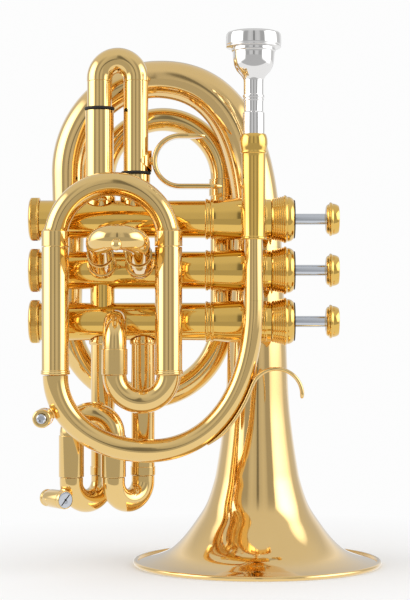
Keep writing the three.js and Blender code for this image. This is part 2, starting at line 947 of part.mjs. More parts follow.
function secondCrook() {
  const seam = secondSleeveEnd + seatGap - secondLegStart;
  const crook = slideCrook({
    leftFoot: secondPlace(secondLeftReach, secondLegStart),
    heading: secondHeading,
    towards: right,
    spacing: secondSpacing,
    leg: secondLegOuter,
    crook: secondCrookOuter,
    seam,
    bendStart: secondBendStart - secondLegStart,
  });
  const crest = secondPlace(secondMiddleReach, secondBendStart + secondSpacing / 2);
  const below = new THREE.Vector3().crossVectors(right, secondHeading);
  const outwards = below.add(secondHeading).normalize();
  const stand = secondCrookOuter + knobStand;
  const knob = new THREE.SphereGeometry(knobRadius, tubeSides, tubeSides / 2);
  const centre = crest.clone().addScaledVector(outwards, stand);
  knob.translate(centre.x, centre.y, centre.z);
  const neckStart = crest.clone().addScaledVector(outwards, secondCrookOuter - tubeWall);
  const neck = bar(neckStart, outwards, knobNeck, stand - secondCrookOuter + tubeWall);
  return crook.add(solidOf(knob)).add(solidOf(neck));
}

function thirdSleeve(reach) {
  const length = thirdSleeveLength - seatGap;
  const wall = thirdSleeveOuter - thirdLegOuter - slideGap;
  return sleeve(thirdValve, reach, down, back, thirdSleeveOuter, wall, length);
}

function thirdArch() {
  const start = {
    at: new THREE.Vector3(thirdCrookLeftX, thirdFrontPlane, thirdSeam + seatGap),
    heading: up,
    outer: thirdSleeveOuter,
    wall: thirdSleeveOuter - thirdLegOuter - slideGap,
  };
  const rise = thirdArchRise - seatGap;
  const radius = (thirdCrookMiddleX - thirdCrookLeftX) / 2;
  return pipe(walk(start, [straight(rise), bend(radius, right, halfTurn), straight(rise)]), back);
}

// A pull crook of the third slide between a leg at x and y and one at another x and y.
function thirdCrook(from, to) {
  const towards = to.clone().sub(from);
  const spacing = towards.length();
  return slideCrook({
    leftFoot: from.clone().setZ(thirdLegTop),
    heading: down,
    towards: towards.normalize(),
    spacing,
    leg: thirdLegOuter,
    crook: thirdCrookOuter,
    seam: thirdLegLength,
    bendStart: thirdLegLength + thirdBendDrop,
  });
}
const thirdBackLeft = new THREE.Vector3(valveFootX + thirdLeftReach, thirdBackPlane, 0);
const thirdFrontLeft = new THREE.Vector3(thirdCrookLeftX, thirdFrontPlane, 0);
const thirdFrontMiddle = new THREE.Vector3(thirdCrookMiddleX, thirdFrontPlane, 0);
const thirdBackRight = new THREE.Vector3(valveFootX + thirdRightReach, thirdBackPlane, 0);

function mouthpiece() {
  const shoulder = mouthpieceTop - mouthpieceCupLength;
  const place = ([height, radius]) => [
    radius * mouthpieceRimRadius,
    shoulder + height * mouthpieceCupLength,
  ];
  return solidOf(
    turned([
      [backboreRadius, shankTip],
      [shankTipRadius, shankTip],
      [shankRadius, receiverTop],
      [shankRadius, shoulder],
      ...mouthpieceShares.map(place),
      ...cupShares.map(place),
      [throatRadius, shoulder + cupShares.at(-1)[0] * mouthpieceCupLength - throatRadius],
    ]),
  );
}

function receiver() {
  const neck = receiverTop - receiverCollarLength;
  return solidOf(
    turned([
      [leadpipeOuter + seatGap, receiverFoot],
      [receiverRingOuter, receiverFoot],
      [receiverRingOuter, receiverFoot + receiverRingLength],
      [receiverOuter, receiverFoot + receiverRingLength],
      [receiverOuter, neck],
      [receiverCollarOuter, neck],
      [receiverCollarOuter, receiverTop],
      [shankRadius + slideGap, receiverTop],
      [shankTipRadius + slideGap, shankTip],
      [leadpipeOuter + seatGap, shankTip - seatGap],
    ]),
  );
}

const leadBowStart = new THREE.Vector3(leadpipeX, leadPlane, leadpipeFoot);
const leadBowBase = new THREE.Vector3(leadBowBottomX, leadPlane, leadBowBottom);
const leadBowEnd = new THREE.Vector3(tuningLeftX, leadPlane, tuningSleeveFoot - seatGap);

// A quarter bow between an upright end and a level end; a larger share makes it fuller.
function quarterBow(from, to, share) {
  const upright = from.clone();
  const level = to.clone();
  const [high, low] = from.z > to.z ? [upright, level] : [level, upright];
  const highHandle = high.clone().setZ(THREE.MathUtils.lerp(high.z, low.z, share));
  const lowHandle = low.clone().setX(THREE.MathUtils.lerp(low.x, high.x, share));
  return from.z > to.z
    ? new THREE.CubicBezierCurve3(from, highHandle, lowHandle, to)
    : new THREE.CubicBezierCurve3(from, lowHandle, highHandle, to);
}
const leadBowRight = quarterBow(leadBowStart, leadBowBase, leadBowRightShare);
const leadBowLeft = quarterBow(leadBowBase, leadBowEnd, leadBowLeftShare);

function leadpipe() {
  const start = {
    at: new THREE.Vector3(leadpipeX, leadPlane, leadpipeTop),
    heading: down,
    outer: leadpipeOuter,
    wall: leadpipeWall,
  };
  const inReceiver = leadpipeTop - receiverFoot;
  const below = receiverRise + leadpipeDrop - seatGap;
  return pipe(walk(start, [straight(inReceiver), straight(below, leadpipeFootOuter)]), back);
}

function leadpipeBow() {
  const start = {
    at: leadBowStart,
    heading: down,
    outer: leadpipeFootOuter,
    wall: tubeWall,
  };
  const stations = walk(start, [
    follow(leadBowRight, leadBowBottomOuter),
    follow(leadBowLeft, leadBowEndOuter),
  ]);
  return pipe(stations, back);
}

function tuningSleeve() {
  const bore = tuningSleeveOuter - tuningSleeveWall;
  const length = tuningSleeveLength;
  return solidOf(
    turned([
      [bore, 0],
      [tuningRingOuter, 0],
      [tuningRingOuter, tuningRingLength],
      [tuningSleeveOuter, tuningRingLength],
      [tuningSleeveOuter, length],
      [bore, length],
    ], tubeSides),
  );
}

// The tuning crook carries a ferrule on each leg.
function tuningCrook() {
  const seam = tuningLegLength;
  const leftFoot = new THREE.Vector3(tuningLeftX, leadPlane, tuningLegFoot);
  const crook = slideCrook({
    leftFoot,
    heading: up,
    towards: right,
    spacing: tuningSpacing,
    leg: tuningLegOuter,
    crook: tuningCrookOuter,
    seam,
    bendStart: seam + tuningBendRise,
  });
  const ferrule = turned(
    [
      [tuningLegOuter, 0],
      [tuningFerruleOuter, 0],
      [tuningFerruleOuter, tuningFerruleLength],
      [tuningLegOuter, tuningFerruleLength],
    ],
    tubeSides,
  );
  ferrule.translate(tuningLeftX, leadPlane, tuningSleeveTop + seatGap);
  const other = ferrule.clone().translate(tuningSpacing, 0, 0);
  return crook.add(solidOf(ferrule)).add(solidOf(other));
}

function returnBow() {
  const start = {
    at: new THREE.Vector3(tuningRightX, leadPlane, tuningSleeveFoot - seatGap),
    heading: down,
    outer: returnOuter,
    wall: tubeWall,
  };
  return pipe(walk(start, [bend(returnSpacing / 2, left, halfTurn)]), back);
}

function returnElbow() {
  const start = {
    at: new THREE.Vector3(returnLeftX, leadPlane, tuningSleeveFoot),
    heading: up,
    outer: returnFerruleOuter,
    wall: returnFerruleOuter - returnOuter + tubeWall,
  };
  const stations = walk(start, [
    straight(returnFerruleLength),
    stepTo(returnOuter, tubeWall),
    straight(returnLeg),
    bend(returnElbowRadius, back, quarterTurn),
    straight(valvePlane - leadPlane - returnElbowRadius),
  ]);
  return pipe(stations, right).subtract(casingCutter(thirdValve));
}

// A press-button water key: its barrel lies along +Z, and +X points at the tube that it drains.
function waterKey(tubeOuter) {
  const half = keyLength / 2;
  const bore = keyButtonRadius + slideGap;
  const pocket = half - keyButtonIn - keyButtonPlay;
  const barrel = turned([
    [0, -half],
    [keyEndRadius, -half],
    [keyRadius, keyEndLength - half],
    [keyRadius, half - keyEndLength],
    [keyEndRadius, half],
    [bore, half],
    [bore, pocket],
    [0, pocket],
  ]);
  const toTube = keyStand(tubeOuter);
  const neckFrom = new THREE.Vector3(keyRadius - keyNeck, 0, 0);
  const neck = solidOf(bar(neckFrom, right, keyNeckRadius, toTube - keyRadius));
  const tubeCutter = seatCutter(new THREE.Vector3(toTube, 0, 0), back, tubeOuter, keyRadius);
  return solidOf(barrel).add(neck.subtract(tubeCutter));
}

function keyStand(tubeOuter) {
  return keyRadius + keyNeck + seatGap + tubeOuter;
}

function waterKeyButton() {
  const half = keyLength / 2;
  return solidOf(
    turned([
      [0, half - keyButtonIn],
      [keyButtonRadius, half - keyButtonIn],
      [keyButtonRadius, half + keyButtonOut],
      [0, half + keyButtonOut],
    ], tubeSides),
  );
}

// A strip under the lead bow that leaves it into a round hook.
function fingerHook() {
  const foot = Array.from({ length: hookFootSteps + 1 }, (_, i) => {
    const share = THREE.MathUtils.lerp(hookFootStartShare, hookFootEndShare, i / hookFootSteps);
    const at = leadBowRight.getPoint(share);
    const heading = leadBowRight.getTangent(share);
    const outer = THREE.MathUtils.lerp(leadpipeFootOuter, leadBowBottomOuter, share);
    const stand = outer + seatGap + hookStrip / 2;
    return new THREE.Vector2(at.x - heading.z * stand, at.z + heading.x * stand);
  });
  const leaving = leadBowRight.getTangent(hookFootEndShare).negate();
  const arcStart = Math.atan2(leaving.x, -leaving.z);
  const centre = foot.at(-1).clone();
  centre.x += hookLeg * leaving.x - hookRadius * Math.cos(arcStart);
  centre.y += hookLeg * leaving.z - hookRadius * Math.sin(arcStart);
  const arc = Array.from({ length: hookArcSteps + 1 }, (_, i) => {
    const turn = THREE.MathUtils.lerp(arcStart, hookArcEnd, i / hookArcSteps);
    const outwards = new THREE.Vector2(Math.cos(turn), Math.sin(turn));
    return outwards.multiplyScalar(hookRadius).add(centre);
  });
  return solidOf(strip([...foot, ...arc], hookStrip, hookWidth).translate(0, leadPlane, 0));
}

// A post along Y between the valve plane and another tube, flanged and seated at both ends.
function brace(x, height, toPlane, cutters) {
  const near = Math.min(valvePlane, toPlane);
  const length = Math.abs(toPlane - valvePlane);
  let solid = solidOf(bar(new THREE.Vector3(x, near, height), back, braceRadius, length));
  for (const [plane, radius] of cutters) {
    const inwards = plane === near ? back : front;
    const from = new THREE.Vector3(x, plane, height);
    const flange = bar(from, inwards, braceFlangeRadius, radius + seatGap + braceFlange);
    solid = solid.add(solidOf(flange));
  }
  return solid;
}

function upperCasingCutter() {
  const middle = new THREE.Vector3(leadpipeX, valvePlane, secondValve.height);
  return seatCutter(middle, right, bellyOuter, bellyReach, turnedSides);
}

function leadBrace() {
  const height = secondValve.height;
  const pipeCutter = seatCutter(
    new THREE.Vector3(leadpipeX, leadPlane, height),
    up,
    leadpipeFootOuter,
    valvePitch,
  );
  return brace(leadpipeX, height, leadPlane, [
    [leadPlane, leadpipeFootOuter],
    [valvePlane, bellyOuter],
  ])
    .subtract(pipeCutter)
    .subtract(upperCasingCutter());
}

function bellBrace() {
  const height = secondValve.height;
  const from = new THREE.Vector3(0, valvePlane, height);
  const post = solidOf(bar(from, back, bellBraceRadius, -valvePlane));
  const onBell = new THREE.Vector3(0, 0, height);
  const bellCutter = seatCutter(onBell, up, bellRadiusAt(height), valvePitch, bellSides);
  return post.subtract(upperCasingCutter()).subtract(bellCutter);
}

function coilBrace() {
  const height = secondValve.height;
  const share = (bowEndHeight - height) / (bowEndHeight - tailJointHeight);
  const legOuter = THREE.MathUtils.lerp(bowEndOuter, tailOuter, share);
  const legCutter = seatCutter(new THREE.Vector3(bowLeftX, 0, height), up, legOuter, valvePitch);
  return brace(bowLeftX, height, 0, [
    [0, legOuter],
    [valvePlane, casingOuter],
  ])
    .subtract(legCutter)
    .subtract(casingCutter(secondValve));
}

const horn = new THREE.Group();

addMesh(horn, "bell", bell(), lacqueredBrass);
addMesh(horn, "bell_bow", bellBow(), lacqueredBrass);
addMesh(horn, "coil_bow", coilBow(), lacqueredBrass);
addMesh(horn, "coil_arch", coilArch(), lacqueredBrass);

for (const valve of valves) {
  const group = new THREE.Group();
  group.position.set(valveFootX, valvePlane, valve.height);
  horn.add(group);
  addMesh(group, `valve_casing_${valve.number}`, valveCasing(valve), valveBrass);
  addMesh(group, `bottom_cap_${valve.number}`, bottomCap(), valveBrass);
  addMesh(group, `top_cap_${valve.number}`, topCap(), valveBrass);
  addMesh(group, `piston_${valve.number}`, piston(valve), nickel);
  addMesh(group, `valve_spring_${valve.number}`, valveSpring(), springSteel);
  addMesh(group, `finger_button_${valve.number}`, fingerButton(), nickel);
  addMesh(group, `button_inlay_${valve.number}`, buttonInlay(), pearl);
}
addMesh(horn, "crossover_lower", crossover(lowerCrossReach, thirdValve, secondValve), valveBrass);
addMesh(horn, "crossover_upper", crossover(upperCrossReach, secondValve, firstValve), valveBrass);

const firstSleeves = [
  ["left", firstLeftReach, firstLeftX, firstLeftSleeveTop],
  ["right", firstLeftReach + firstSpacing, firstRightX, firstRightSleeveTop],
];
for (const [side, reach, x, top] of firstSleeves) {
  const tubeTop = top - stopRingThickness - seatGap;
  addMesh(horn, `first_slide_sleeve_${side}`, firstSleeve(reach, tubeTop), lacqueredBrass);
  const ring = addMesh(horn, `first_slide_ring_${side}`, stopRing(), blackRubber);
  ring.position.set(x, valvePlane, top - stopRingThickness);
}
addMesh(horn, "first_slide_crook", firstCrook(), lacqueredBrass);
addMesh(horn, "thumb_saddle", thumbSaddle(), lacqueredBrass).position.y = valvePlane;

addMesh(horn, "second_slide_sleeve_left", secondSleeve(secondLeftReach), lacqueredBrass);
addMesh(horn, "second_slide_sleeve_right", secondSleeve(secondLeftReach + secondSpacing), lacqueredBrass);
addMesh(horn, "second_slide_crook", secondCrook(), lacqueredBrass);

addMesh(horn, "third_slide_sleeve_left", thirdSleeve(thirdLeftReach), lacqueredBrass);
addMesh(horn, "third_slide_sleeve_right", thirdSleeve(thirdRightReach), lacqueredBrass);
addMesh(horn, "third_slide_arch", thirdArch(), lacqueredBrass);
addMesh(horn, "third_slide_crook_left", thirdCrook(thirdBackLeft, thirdFrontLeft), lacqueredBrass);
addMesh(horn, "third_slide_crook_right", thirdCrook(thirdBackRight, thirdFrontMiddle), lacqueredBrass);

const leadGroup = new THREE.Group();
leadGroup.position.set(leadpipeX, leadPlane, 0);
horn.add(leadGroup);
addMesh(leadGroup, "mouthpiece", mouthpiece(), silver);
addMesh(leadGroup, "receiver", receiver(), lacqueredBrass);
addMesh(horn, "leadpipe", leadpipe(), lacqueredBrass);
addMesh(horn, "leadpipe_bow", leadpipeBow(), lacqueredBrass);

for (const [side, x] of [["left", tuningLeftX], ["right", tuningRightX]]) {
  const tube = addMesh(horn, `tuning_sleeve_${side}`, tuningSleeve(), lacqueredBrass);
  tube.position.set(x, leadPlane, tuningSleeveFoot);
}
addMesh(horn, "tuning_crook", tuningCrook(), lacqueredBrass);
addMesh(horn, "return_bow", returnBow(), lacqueredBrass);
addMesh(horn, "return_elbow", returnElbow(), lacqueredBrass);

// A water key's group stands off a tube at a point, outwards, with its button along axis.
function addWaterKey(name, tubePoint, outwards, axis, tubeOuter) {
  const group = new THREE.Group();
  const toTube = outwards.clone().negate();
  const along = new THREE.Vector3().crossVectors(axis, toTube);
  group.position.copy(tubePoint).addScaledVector(outwards, keyStand(tubeOuter));
  group.quaternion.setFromRotationMatrix(new THREE.Matrix4().makeBasis(toTube, along, axis));
  horn.add(group);
  addMesh(group, `${name}_body`, waterKey(tubeOuter), lacqueredBrass);
  addMesh(group, `${name}_button`, waterKeyButton(), nickel);
}

const bowKeyPoint = leadBowLeft.getPoint(bowKeyShare);
const bowKeyHeading = leadBowLeft.getTangent(bowKeyShare);
const bowKeyOut = new THREE.Vector3(-bowKeyHeading.z, 0, bowKeyHeading.x);
const bowKeyTube = THREE.MathUtils.lerp(leadBowBottomOuter, leadBowEndOuter, bowKeyShare);
addWaterKey("water_key_bow", bowKeyPoint, bowKeyOut, front, bowKeyTube);

const crookSpan = thirdFrontLeft.clone().sub(thirdBackLeft);
const crookRadius = crookSpan.length() / 2;
const crookLine = crookSpan.clone().normalize();
const slideKeyOut = crookLine
  .clone()
  .multiplyScalar(Math.cos(slideKeyAngle))
  .addScaledVector(down, Math.sin(slideKeyAngle));
const slideKeyPoint = thirdBackLeft
  .clone()
  .addScaledVector(crookLine, crookRadius)
  .setZ(thirdSeam - thirdBendDrop)
  .addScaledVector(slideKeyOut, crookRadius);
const slideKeyAxis = new THREE.Vector3().crossVectors(crookLine, up);
addWaterKey("water_key_slide", slideKeyPoint, slideKeyOut, slideKeyAxis, thirdCrookOuter);

addMesh(horn, "finger_hook", fingerHook(), lacqueredBrass);
addMesh(horn, "lead_brace", leadBrace(), lacqueredBrass);
addMesh(horn, "bell_brace", bellBrace(), lacqueredBrass);
addMesh(horn, "coil_brace", coilBrace(), lacqueredBrass);

// The origin goes to the middle of the footprint, at the rim.
const extent = new THREE.Box3().setFromObject(horn);
horn.position.x = -(extent.min.x + extent.max.x) / 2;
horn.position.y = -(extent.min.y + extent.max.y) / 2;
const pocketTrumpet = new THREE.Group();
pocketTrumpet.add(horn);

export default pocketTrumpet;
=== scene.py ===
import math
import bpy
import bmesh
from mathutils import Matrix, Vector


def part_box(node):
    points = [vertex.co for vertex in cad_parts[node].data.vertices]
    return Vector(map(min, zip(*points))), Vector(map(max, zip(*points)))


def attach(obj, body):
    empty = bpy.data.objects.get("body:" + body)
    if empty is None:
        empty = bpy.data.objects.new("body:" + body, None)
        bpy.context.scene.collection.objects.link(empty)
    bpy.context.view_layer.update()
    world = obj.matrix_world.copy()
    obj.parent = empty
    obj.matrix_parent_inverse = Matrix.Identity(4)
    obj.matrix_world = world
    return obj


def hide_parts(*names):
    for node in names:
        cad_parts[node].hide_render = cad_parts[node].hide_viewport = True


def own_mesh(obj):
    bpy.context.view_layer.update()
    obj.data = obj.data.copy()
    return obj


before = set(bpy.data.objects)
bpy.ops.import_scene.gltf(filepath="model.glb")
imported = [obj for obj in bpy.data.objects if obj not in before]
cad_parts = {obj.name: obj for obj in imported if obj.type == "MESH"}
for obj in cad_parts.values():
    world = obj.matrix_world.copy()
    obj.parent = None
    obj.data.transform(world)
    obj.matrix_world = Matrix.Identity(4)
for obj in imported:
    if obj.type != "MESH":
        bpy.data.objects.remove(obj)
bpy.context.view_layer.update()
bpy.context.scene.view_settings.view_transform = "Standard"

mm = 0.001
low, high = (Vector(corner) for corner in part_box("bell"))
home = Vector(((low.x + high.x) / 2, (low.y + high.y) / 2, 0))  # the bell's axis at its rim
right, left = Vector((1, 0, 0)), Vector((-1, 0, 0))
back, front = Vector((0, 1, 0)), Vector((0, -1, 0))
up, down = Vector((0, 0, 1)), Vector((0, 0, -1))
valvePlane, leadPlane, coilPlane = -26, -52, 12  # mm in front of and behind the bell's axis

# node helpers


# a colour or a grey, fully opaque
def opaque(value):
    return (*value, 1) if isinstance(value, tuple) else (value, value, value, 1)


# turns ringRadius into Ring Radius, as inputs are named
def spaced(label):
    return "".join(" " + letter if letter.isupper() else letter for letter in label).title()


# sets an input, or links it to a socket or to a node's first output
def feed(target, value):
    source = value.outputs[0] if isinstance(value, bpy.types.Node) else value
    if isinstance(source, bpy.types.NodeSocket):
        target.id_data.links.new(source, target)
    else:
        target.default_value = opaque(value) if target.type == "RGBA" else value


# feeds a node's inputs in order or by name; a name that is no input is a setting
def give(node, *ordered, **named):
    for target, value in zip(node.inputs, ordered):
        feed(target, value)
    for label, value in named.items():
        words = label if label in node.inputs else spaced(label)
        if words in node.inputs:
            feed(node.inputs[words], value)
        else:
            setattr(node, label, value)
    return node


# adds a node; its kind is named without ShaderNode or GeometryNode
def addNode(tree, kind, *ordered, **named):
    return give(tree.nodes.new(tree.bl_idname.replace("Tree", kind)), *ordered, **named)


def maths(tree, operation, *ordered):
    return addNode(tree, "Math", *ordered, operation=operation)


def noiseAt(tree, place, scale, detail=3, roughness=0.5):
    return addNode(tree, "TexNoise", vector=place, scale=scale, detail=detail, roughness=roughness)


def spread(tree, source, lowest, highest, fromLow=0.3, fromHigh=0.7, **settings):
    return addNode(tree, "MapRange", source, fromLow, fromHigh, lowest, highest, **settings)


def tinted(tree, factor, *colors):
    node = addNode(tree, "Mix", data_type="RGBA", factor=factor)
    for target, color in zip([s for s in node.inputs if s.type == "RGBA"], colors):
        feed(target, color)
    return next(s for s in node.outputs if s.type == "RGBA")


def newMaterial(name):
    material = bpy.data.materials.new(name)
    material.use_nodes = True
    tree = material.node_tree
    place = addNode(tree, "TexCoord").outputs["Object"]
    return material, tree, tree.nodes["Principled BSDF"], place


def bumped(tree, height, strength, distance):
    return addNode(tree, "Bump", height=height, strength=strength, distance=distance)


# metals: slow tone drift, fine polishing haze, faint orange peel under the lacquer
def polishedMetal(name, darker, lighter, haze, coat=0, peel=0.03):
    material, tree, shader, place = newMaterial(name)
    tone = tinted(tree, noiseAt(tree, place, scale=45), darker, lighter)
    sheen = spread(tree, noiseAt(tree, place, scale=420, detail=6, roughness=0.65), *haze)
    normal = bumped(tree, noiseAt(tree, place, scale=160, detail=2), peel, distance=0.0004)
    give(shader, baseColor=tone, roughness=sheen, normal=normal, metallic=1)
    give(shader, coatWeight=coat, coatRoughness=0.03, **{"Coat IOR": 1.6})
    return material


def softMaterial(name, darker, lighter, roughness, grainScale, grainDepth):
    material, tree, shader, place = newMaterial(name)
    grain = noiseAt(tree, place, grainScale, detail=5, roughness=0.6)
    tone = tinted(tree, grain, darker, lighter)
    sheen = spread(tree, grain, roughness, roughness + 0.15)
    normal = bumped(tree, grain, strength=0.5, distance=grainDepth)
    give(shader, baseColor=tone, roughness=sheen, normal=normal)
    return material


# mother-of-pearl: bands that drift through each other
def pearlMaterial(name, darker, lighter):
    material, tree, shader, place = newMaterial(name)
    bands = addNode(tree, "TexWave", vector=place, scale=90, distortion=9, detail=3)
    tone = tinted(tree, bands.outputs["Fac"], darker, lighter)
    sheen = spread(tree, noiseAt(tree, place, scale=300), lowest=0.12, highest=0.25)
    give(shader, baseColor=tone, roughness=sheen, coatWeight=1, coatRoughness=0.04)
    return material


finishes = {
    "lacquer": polishedMetal("lacqueredBrass", (0.85, 0.575, 0.19), (0.9, 0.625, 0.23), (0.03, 0.07), 1),
    "valve": polishedMetal("valveBrass", (0.8, 0.5, 0.095), (0.86, 0.55, 0.13), (0.035, 0.08), 0.5),
    "bell": polishedMetal("bellBrass", (0.85, 0.57, 0.2), (0.9, 0.62, 0.24), (0.05, 0.09), 1, 0.02),
    "silver": polishedMetal("silverPlate", (0.81, 0.8, 0.79), (0.89, 0.88, 0.87), (0.03, 0.07)),
    "nickel": polishedMetal("nickelPlate", (0.56, 0.59, 0.64), (0.68, 0.71, 0.76), (0.06, 0.12)),
    "steel": polishedMetal("springSteel", (0.38, 0.38, 0.4), (0.55, 0.55, 0.57), (0.2, 0.34)),
    # near-black: real rubber on the stop rings, and painted shade in the water keys' slot, pit and drain
    # hole
    "rubber": softMaterial("rubberAndPaintedShade", (0.008, 0.006, 0.004), (0.022, 0.018, 0.014), 0.6, 900, 0.0001),
    "felt": softMaterial("blackFelt", (0.012, 0.011, 0.01), (0.05, 0.047, 0.043), 0.85, 1600, 0.0003),
    "pearl": pearlMaterial("pearlInlay", (0.5, 0.53, 0.52), (0.78, 0.74, 0.7)),
}
print("finishes ready:", ", ".join(finishes))

# geometry node trees


# a tree with inputs listed by kind
def newTree(name, **inputs):
    tree = bpy.data.node_groups.new(name, "GeometryNodeTree")
    for kind, labels in {"Geometry": "geometry", **inputs, "Material": "finish"}.items():
        for label in labels.split():
            tree.interface.new_socket(name=spaced(label), in_out="INPUT", socket_type="NodeSocket" + kind)
    tree.interface.new_socket(name="Geometry", in_out="OUTPUT", socket_type="NodeSocketGeometry")
    return tree, tree.nodes.new("NodeGroupInput").outputs


def endTree(tree, given, geometry):
    plain = addNode(tree, "RealizeInstances", geometry)
    smooth = addNode(tree, "SetShadeSmooth", plain)
    finished = addNode(tree, "SetMaterial", smooth, material=given["Finish"])
    give(tree.nodes.new("NodeGroupOutput"), finished)
    return tree


def moved(tree, given, geometry):
    return addNode(tree, "Transform", geometry, translation=given["Place"], rotation=given["Turn"])


# a tube along a path: its outside, its bore turned inwards, and both rims welded
def tubeTree():
    tree, given = newTree("tubeAlongPath", Int="sides", Float="weld")
    curve = addNode(tree, "MeshToCurve", given["Geometry"])
    circle = addNode(tree, "CurvePrimitiveCircle", resolution=given["Sides"], radius=1)
    both = addNode(tree, "JoinGeometry")
    for label in ("bore", "girth"):
        width = addNode(tree, "InputNamedAttribute", data_type="FLOAT", name=label)
        wall = addNode(tree, "CurveToMesh", curve, profileCurve=circle, scale=width)
        if label == "bore":
            wall = addNode(tree, "FlipFaces", wall)
        feed(both.inputs[0], wall)
    weld = addNode(tree, "MergeByDistance", both, distance=given["Weld"])
    return endTree(tree, given, weld)


# ribs standing round a cap's edge
def ribTree():
    sizes = "ringRadius ribRadius ribLength"
    tree, given = newTree("ribsRoundEdge", Int="ribs", Float=sizes, Vector="place turn")
    ring = addNode(tree, "MeshCircle", vertices=given["Ribs"], radius=given["Ring Radius"])
    rib = addNode(tree, "MeshCylinder", vertices=6, radius=given["Rib Radius"], depth=given["Rib Length"])
    stand = addNode(tree, "InstanceOnPoints", points=ring, instance=rib)
    return endTree(tree, given, moved(tree, given, stand))


# a coil spring
def springTree():
    tree, given = newTree("coilSpring", Float="turns coilRadius wireRadius length", Vector="place turn")
    coil = addNode(tree, "CurveSpiral", resolution=28, rotations=given["Turns"], height=given["Length"])
    give(coil, startRadius=given["Coil Radius"], endRadius=given["Coil Radius"])
    wire = addNode(tree, "CurvePrimitiveCircle", resolution=8, radius=given["Wire Radius"])
    sweep = addNode(tree, "CurveToMesh", coil, profileCurve=wire, fillCaps=True)
    return endTree(tree, given, moved(tree, given, sweep))


trees = {"tube": tubeTree(), "ribs": ribTree(), "spring": springTree()}


def addObject(name, data):
    made = bpy.data.objects.new(name, data)
    bpy.context.scene.collection.objects.link(made)
    return made


# corners and faces of a helper object after its modifiers; the helpers are then removed
def plainPart(carrier, finish, *helpers):
    made = bpy.data.meshes.new_from_object(carrier.evaluated_get(bpy.context.evaluated_depsgraph_get()))
    verts = [(v.co - home) / mm for v in made.vertices]
    faces = [tuple(p.vertices) for p in made.polygons]
    for mesh in [made, *(helper.data for helper in (carrier, *helpers))]:
        bpy.data.meshes.remove(mesh)
    return {"verts": verts, "faces": faces, "finish": finish}


def runTree(name, mesh, finish, **values):
    carrier = addObject("carrier", mesh)
    modifier = carrier.modifiers.new("tree", "NODES")
    modifier.node_group = trees[name]
    sockets = {s.name: s.identifier for s in trees[name].interface.items_tree if s.in_out == "INPUT"}
    for label, value in {"finish": finishes[finish], **values}.items():
        modifier[sockets[spaced(label)]] = value
    carrier.update_tag()
    return plainPart(carrier, finish)


# paths in mm: stations of place, outer radius and bore

sliver = 0.02  # a short step between stations, at a sharp edge
bowStep = 3.5  # degrees between the stations of a bow
weldReach = 1e-7  # in metres


def addStation(path):
    path["stations"].append((path["at"].copy(), path["girth"], path["girth"] - path["wall"]))


def startPath(at, heading, girth, wall=0.7):
    heading = Vector(heading).normalized()
    path = {"at": Vector(at), "heading": heading, "girth": girth, "wall": wall, "stations": []}
    addStation(path)
    return path


# follows a curve, which gives place and heading at a share of its run, and changes to a girth on the way;
# the pinch takes girth away soon after the start
def along(path, curve, girth=None, steps=36, pinch=0):
    fromGirth = path["girth"]
    toGirth = fromGirth if girth is None else girth
    for i in range(1, steps + 1):
        share = i / steps
        path["at"], path["heading"] = curve(share)
        path["girth"] = fromGirth + (toGirth - fromGirth) * share - pinch * share * (1 - share) ** 7
        addStation(path)


def ahead(path, length, girth=None, steps=1):
    origin, way = path["at"].copy(), path["heading"].copy()
    along(path, lambda share: (origin + way * length * share, way), girth, steps)


# straight up or down to a height
def aheadTo(path, height):
    ahead(path, abs(height - path["at"].z))


# a shoulder with a rounded edge on its wider side; the bore stays
def shoulder(path, girth, edge=0.3):
    bore = path["girth"] - path["wall"]
    wide = max(girth, path["girth"])
    quarter = [math.radians(angle) for angle in (0, 30, 60, 90)]
    rounds = [(edge * (1 - math.cos(a)), wide - edge + edge * math.sin(a)) for a in quarter]
    if girth <= path["girth"]:
        rounds = [(edge - reach, radius) for reach, radius in reversed(rounds)]
    origin = path["at"].copy()
    for reach, radius in rounds:
        place = origin + path["heading"] * (reach + sliver)
        path["stations"].append((place, radius, bore))
    path.update(at=origin + path["heading"] * (edge + 2 * sliver), girth=girth, wall=girth - bore)
    addStation(path)


# a fine seam line cut round the tube
def seam(path, depth=0.42, width=0.4):
    girth, wall = path["girth"], path["wall"]
    origin = path["at"].copy()
    for reach, cut in ((0, 0), (2 * sliver, depth), (width - 2 * sliver, depth), (width, 0)):
        path["at"] = origin + path["heading"] * (reach + sliver / 2)
        path["stations"].append((path["at"].copy(), girth - cut, girth - wall))


# a bow that turns towards a side; it can drift aside as it goes
def around(path, radius, towards, degrees, girth=None, drift=(0, 0, 0)):
    towards = Vector(towards).normalized()
    heading, centre = path["heading"].copy(), path["at"] + towards * radius

    def bow(share):
        turn = math.radians(degrees) * share
        place = centre - towards * radius * math.cos(turn) + heading * radius * math.sin(turn)
        aside = Vector(drift) * share * share * (3 - 2 * share)
        return place + aside, heading * math.cos(turn) + towards * math.sin(turn)

    along(path, bow, girth, round(degrees / bowStep))


# a curve through two ends with two handles
def cubic(a, b, c, d):
    def curve(t):
        place = a * (1 - t) ** 3 + b * 3 * t * (1 - t) ** 2 + c * 3 * t**2 * (1 - t) + d * t**3
        way = (b - a) * (1 - t) ** 2 + (c - b) * 2 * t * (1 - t) + (d - c) * t**2
        return place, way.normalized()

    return curve


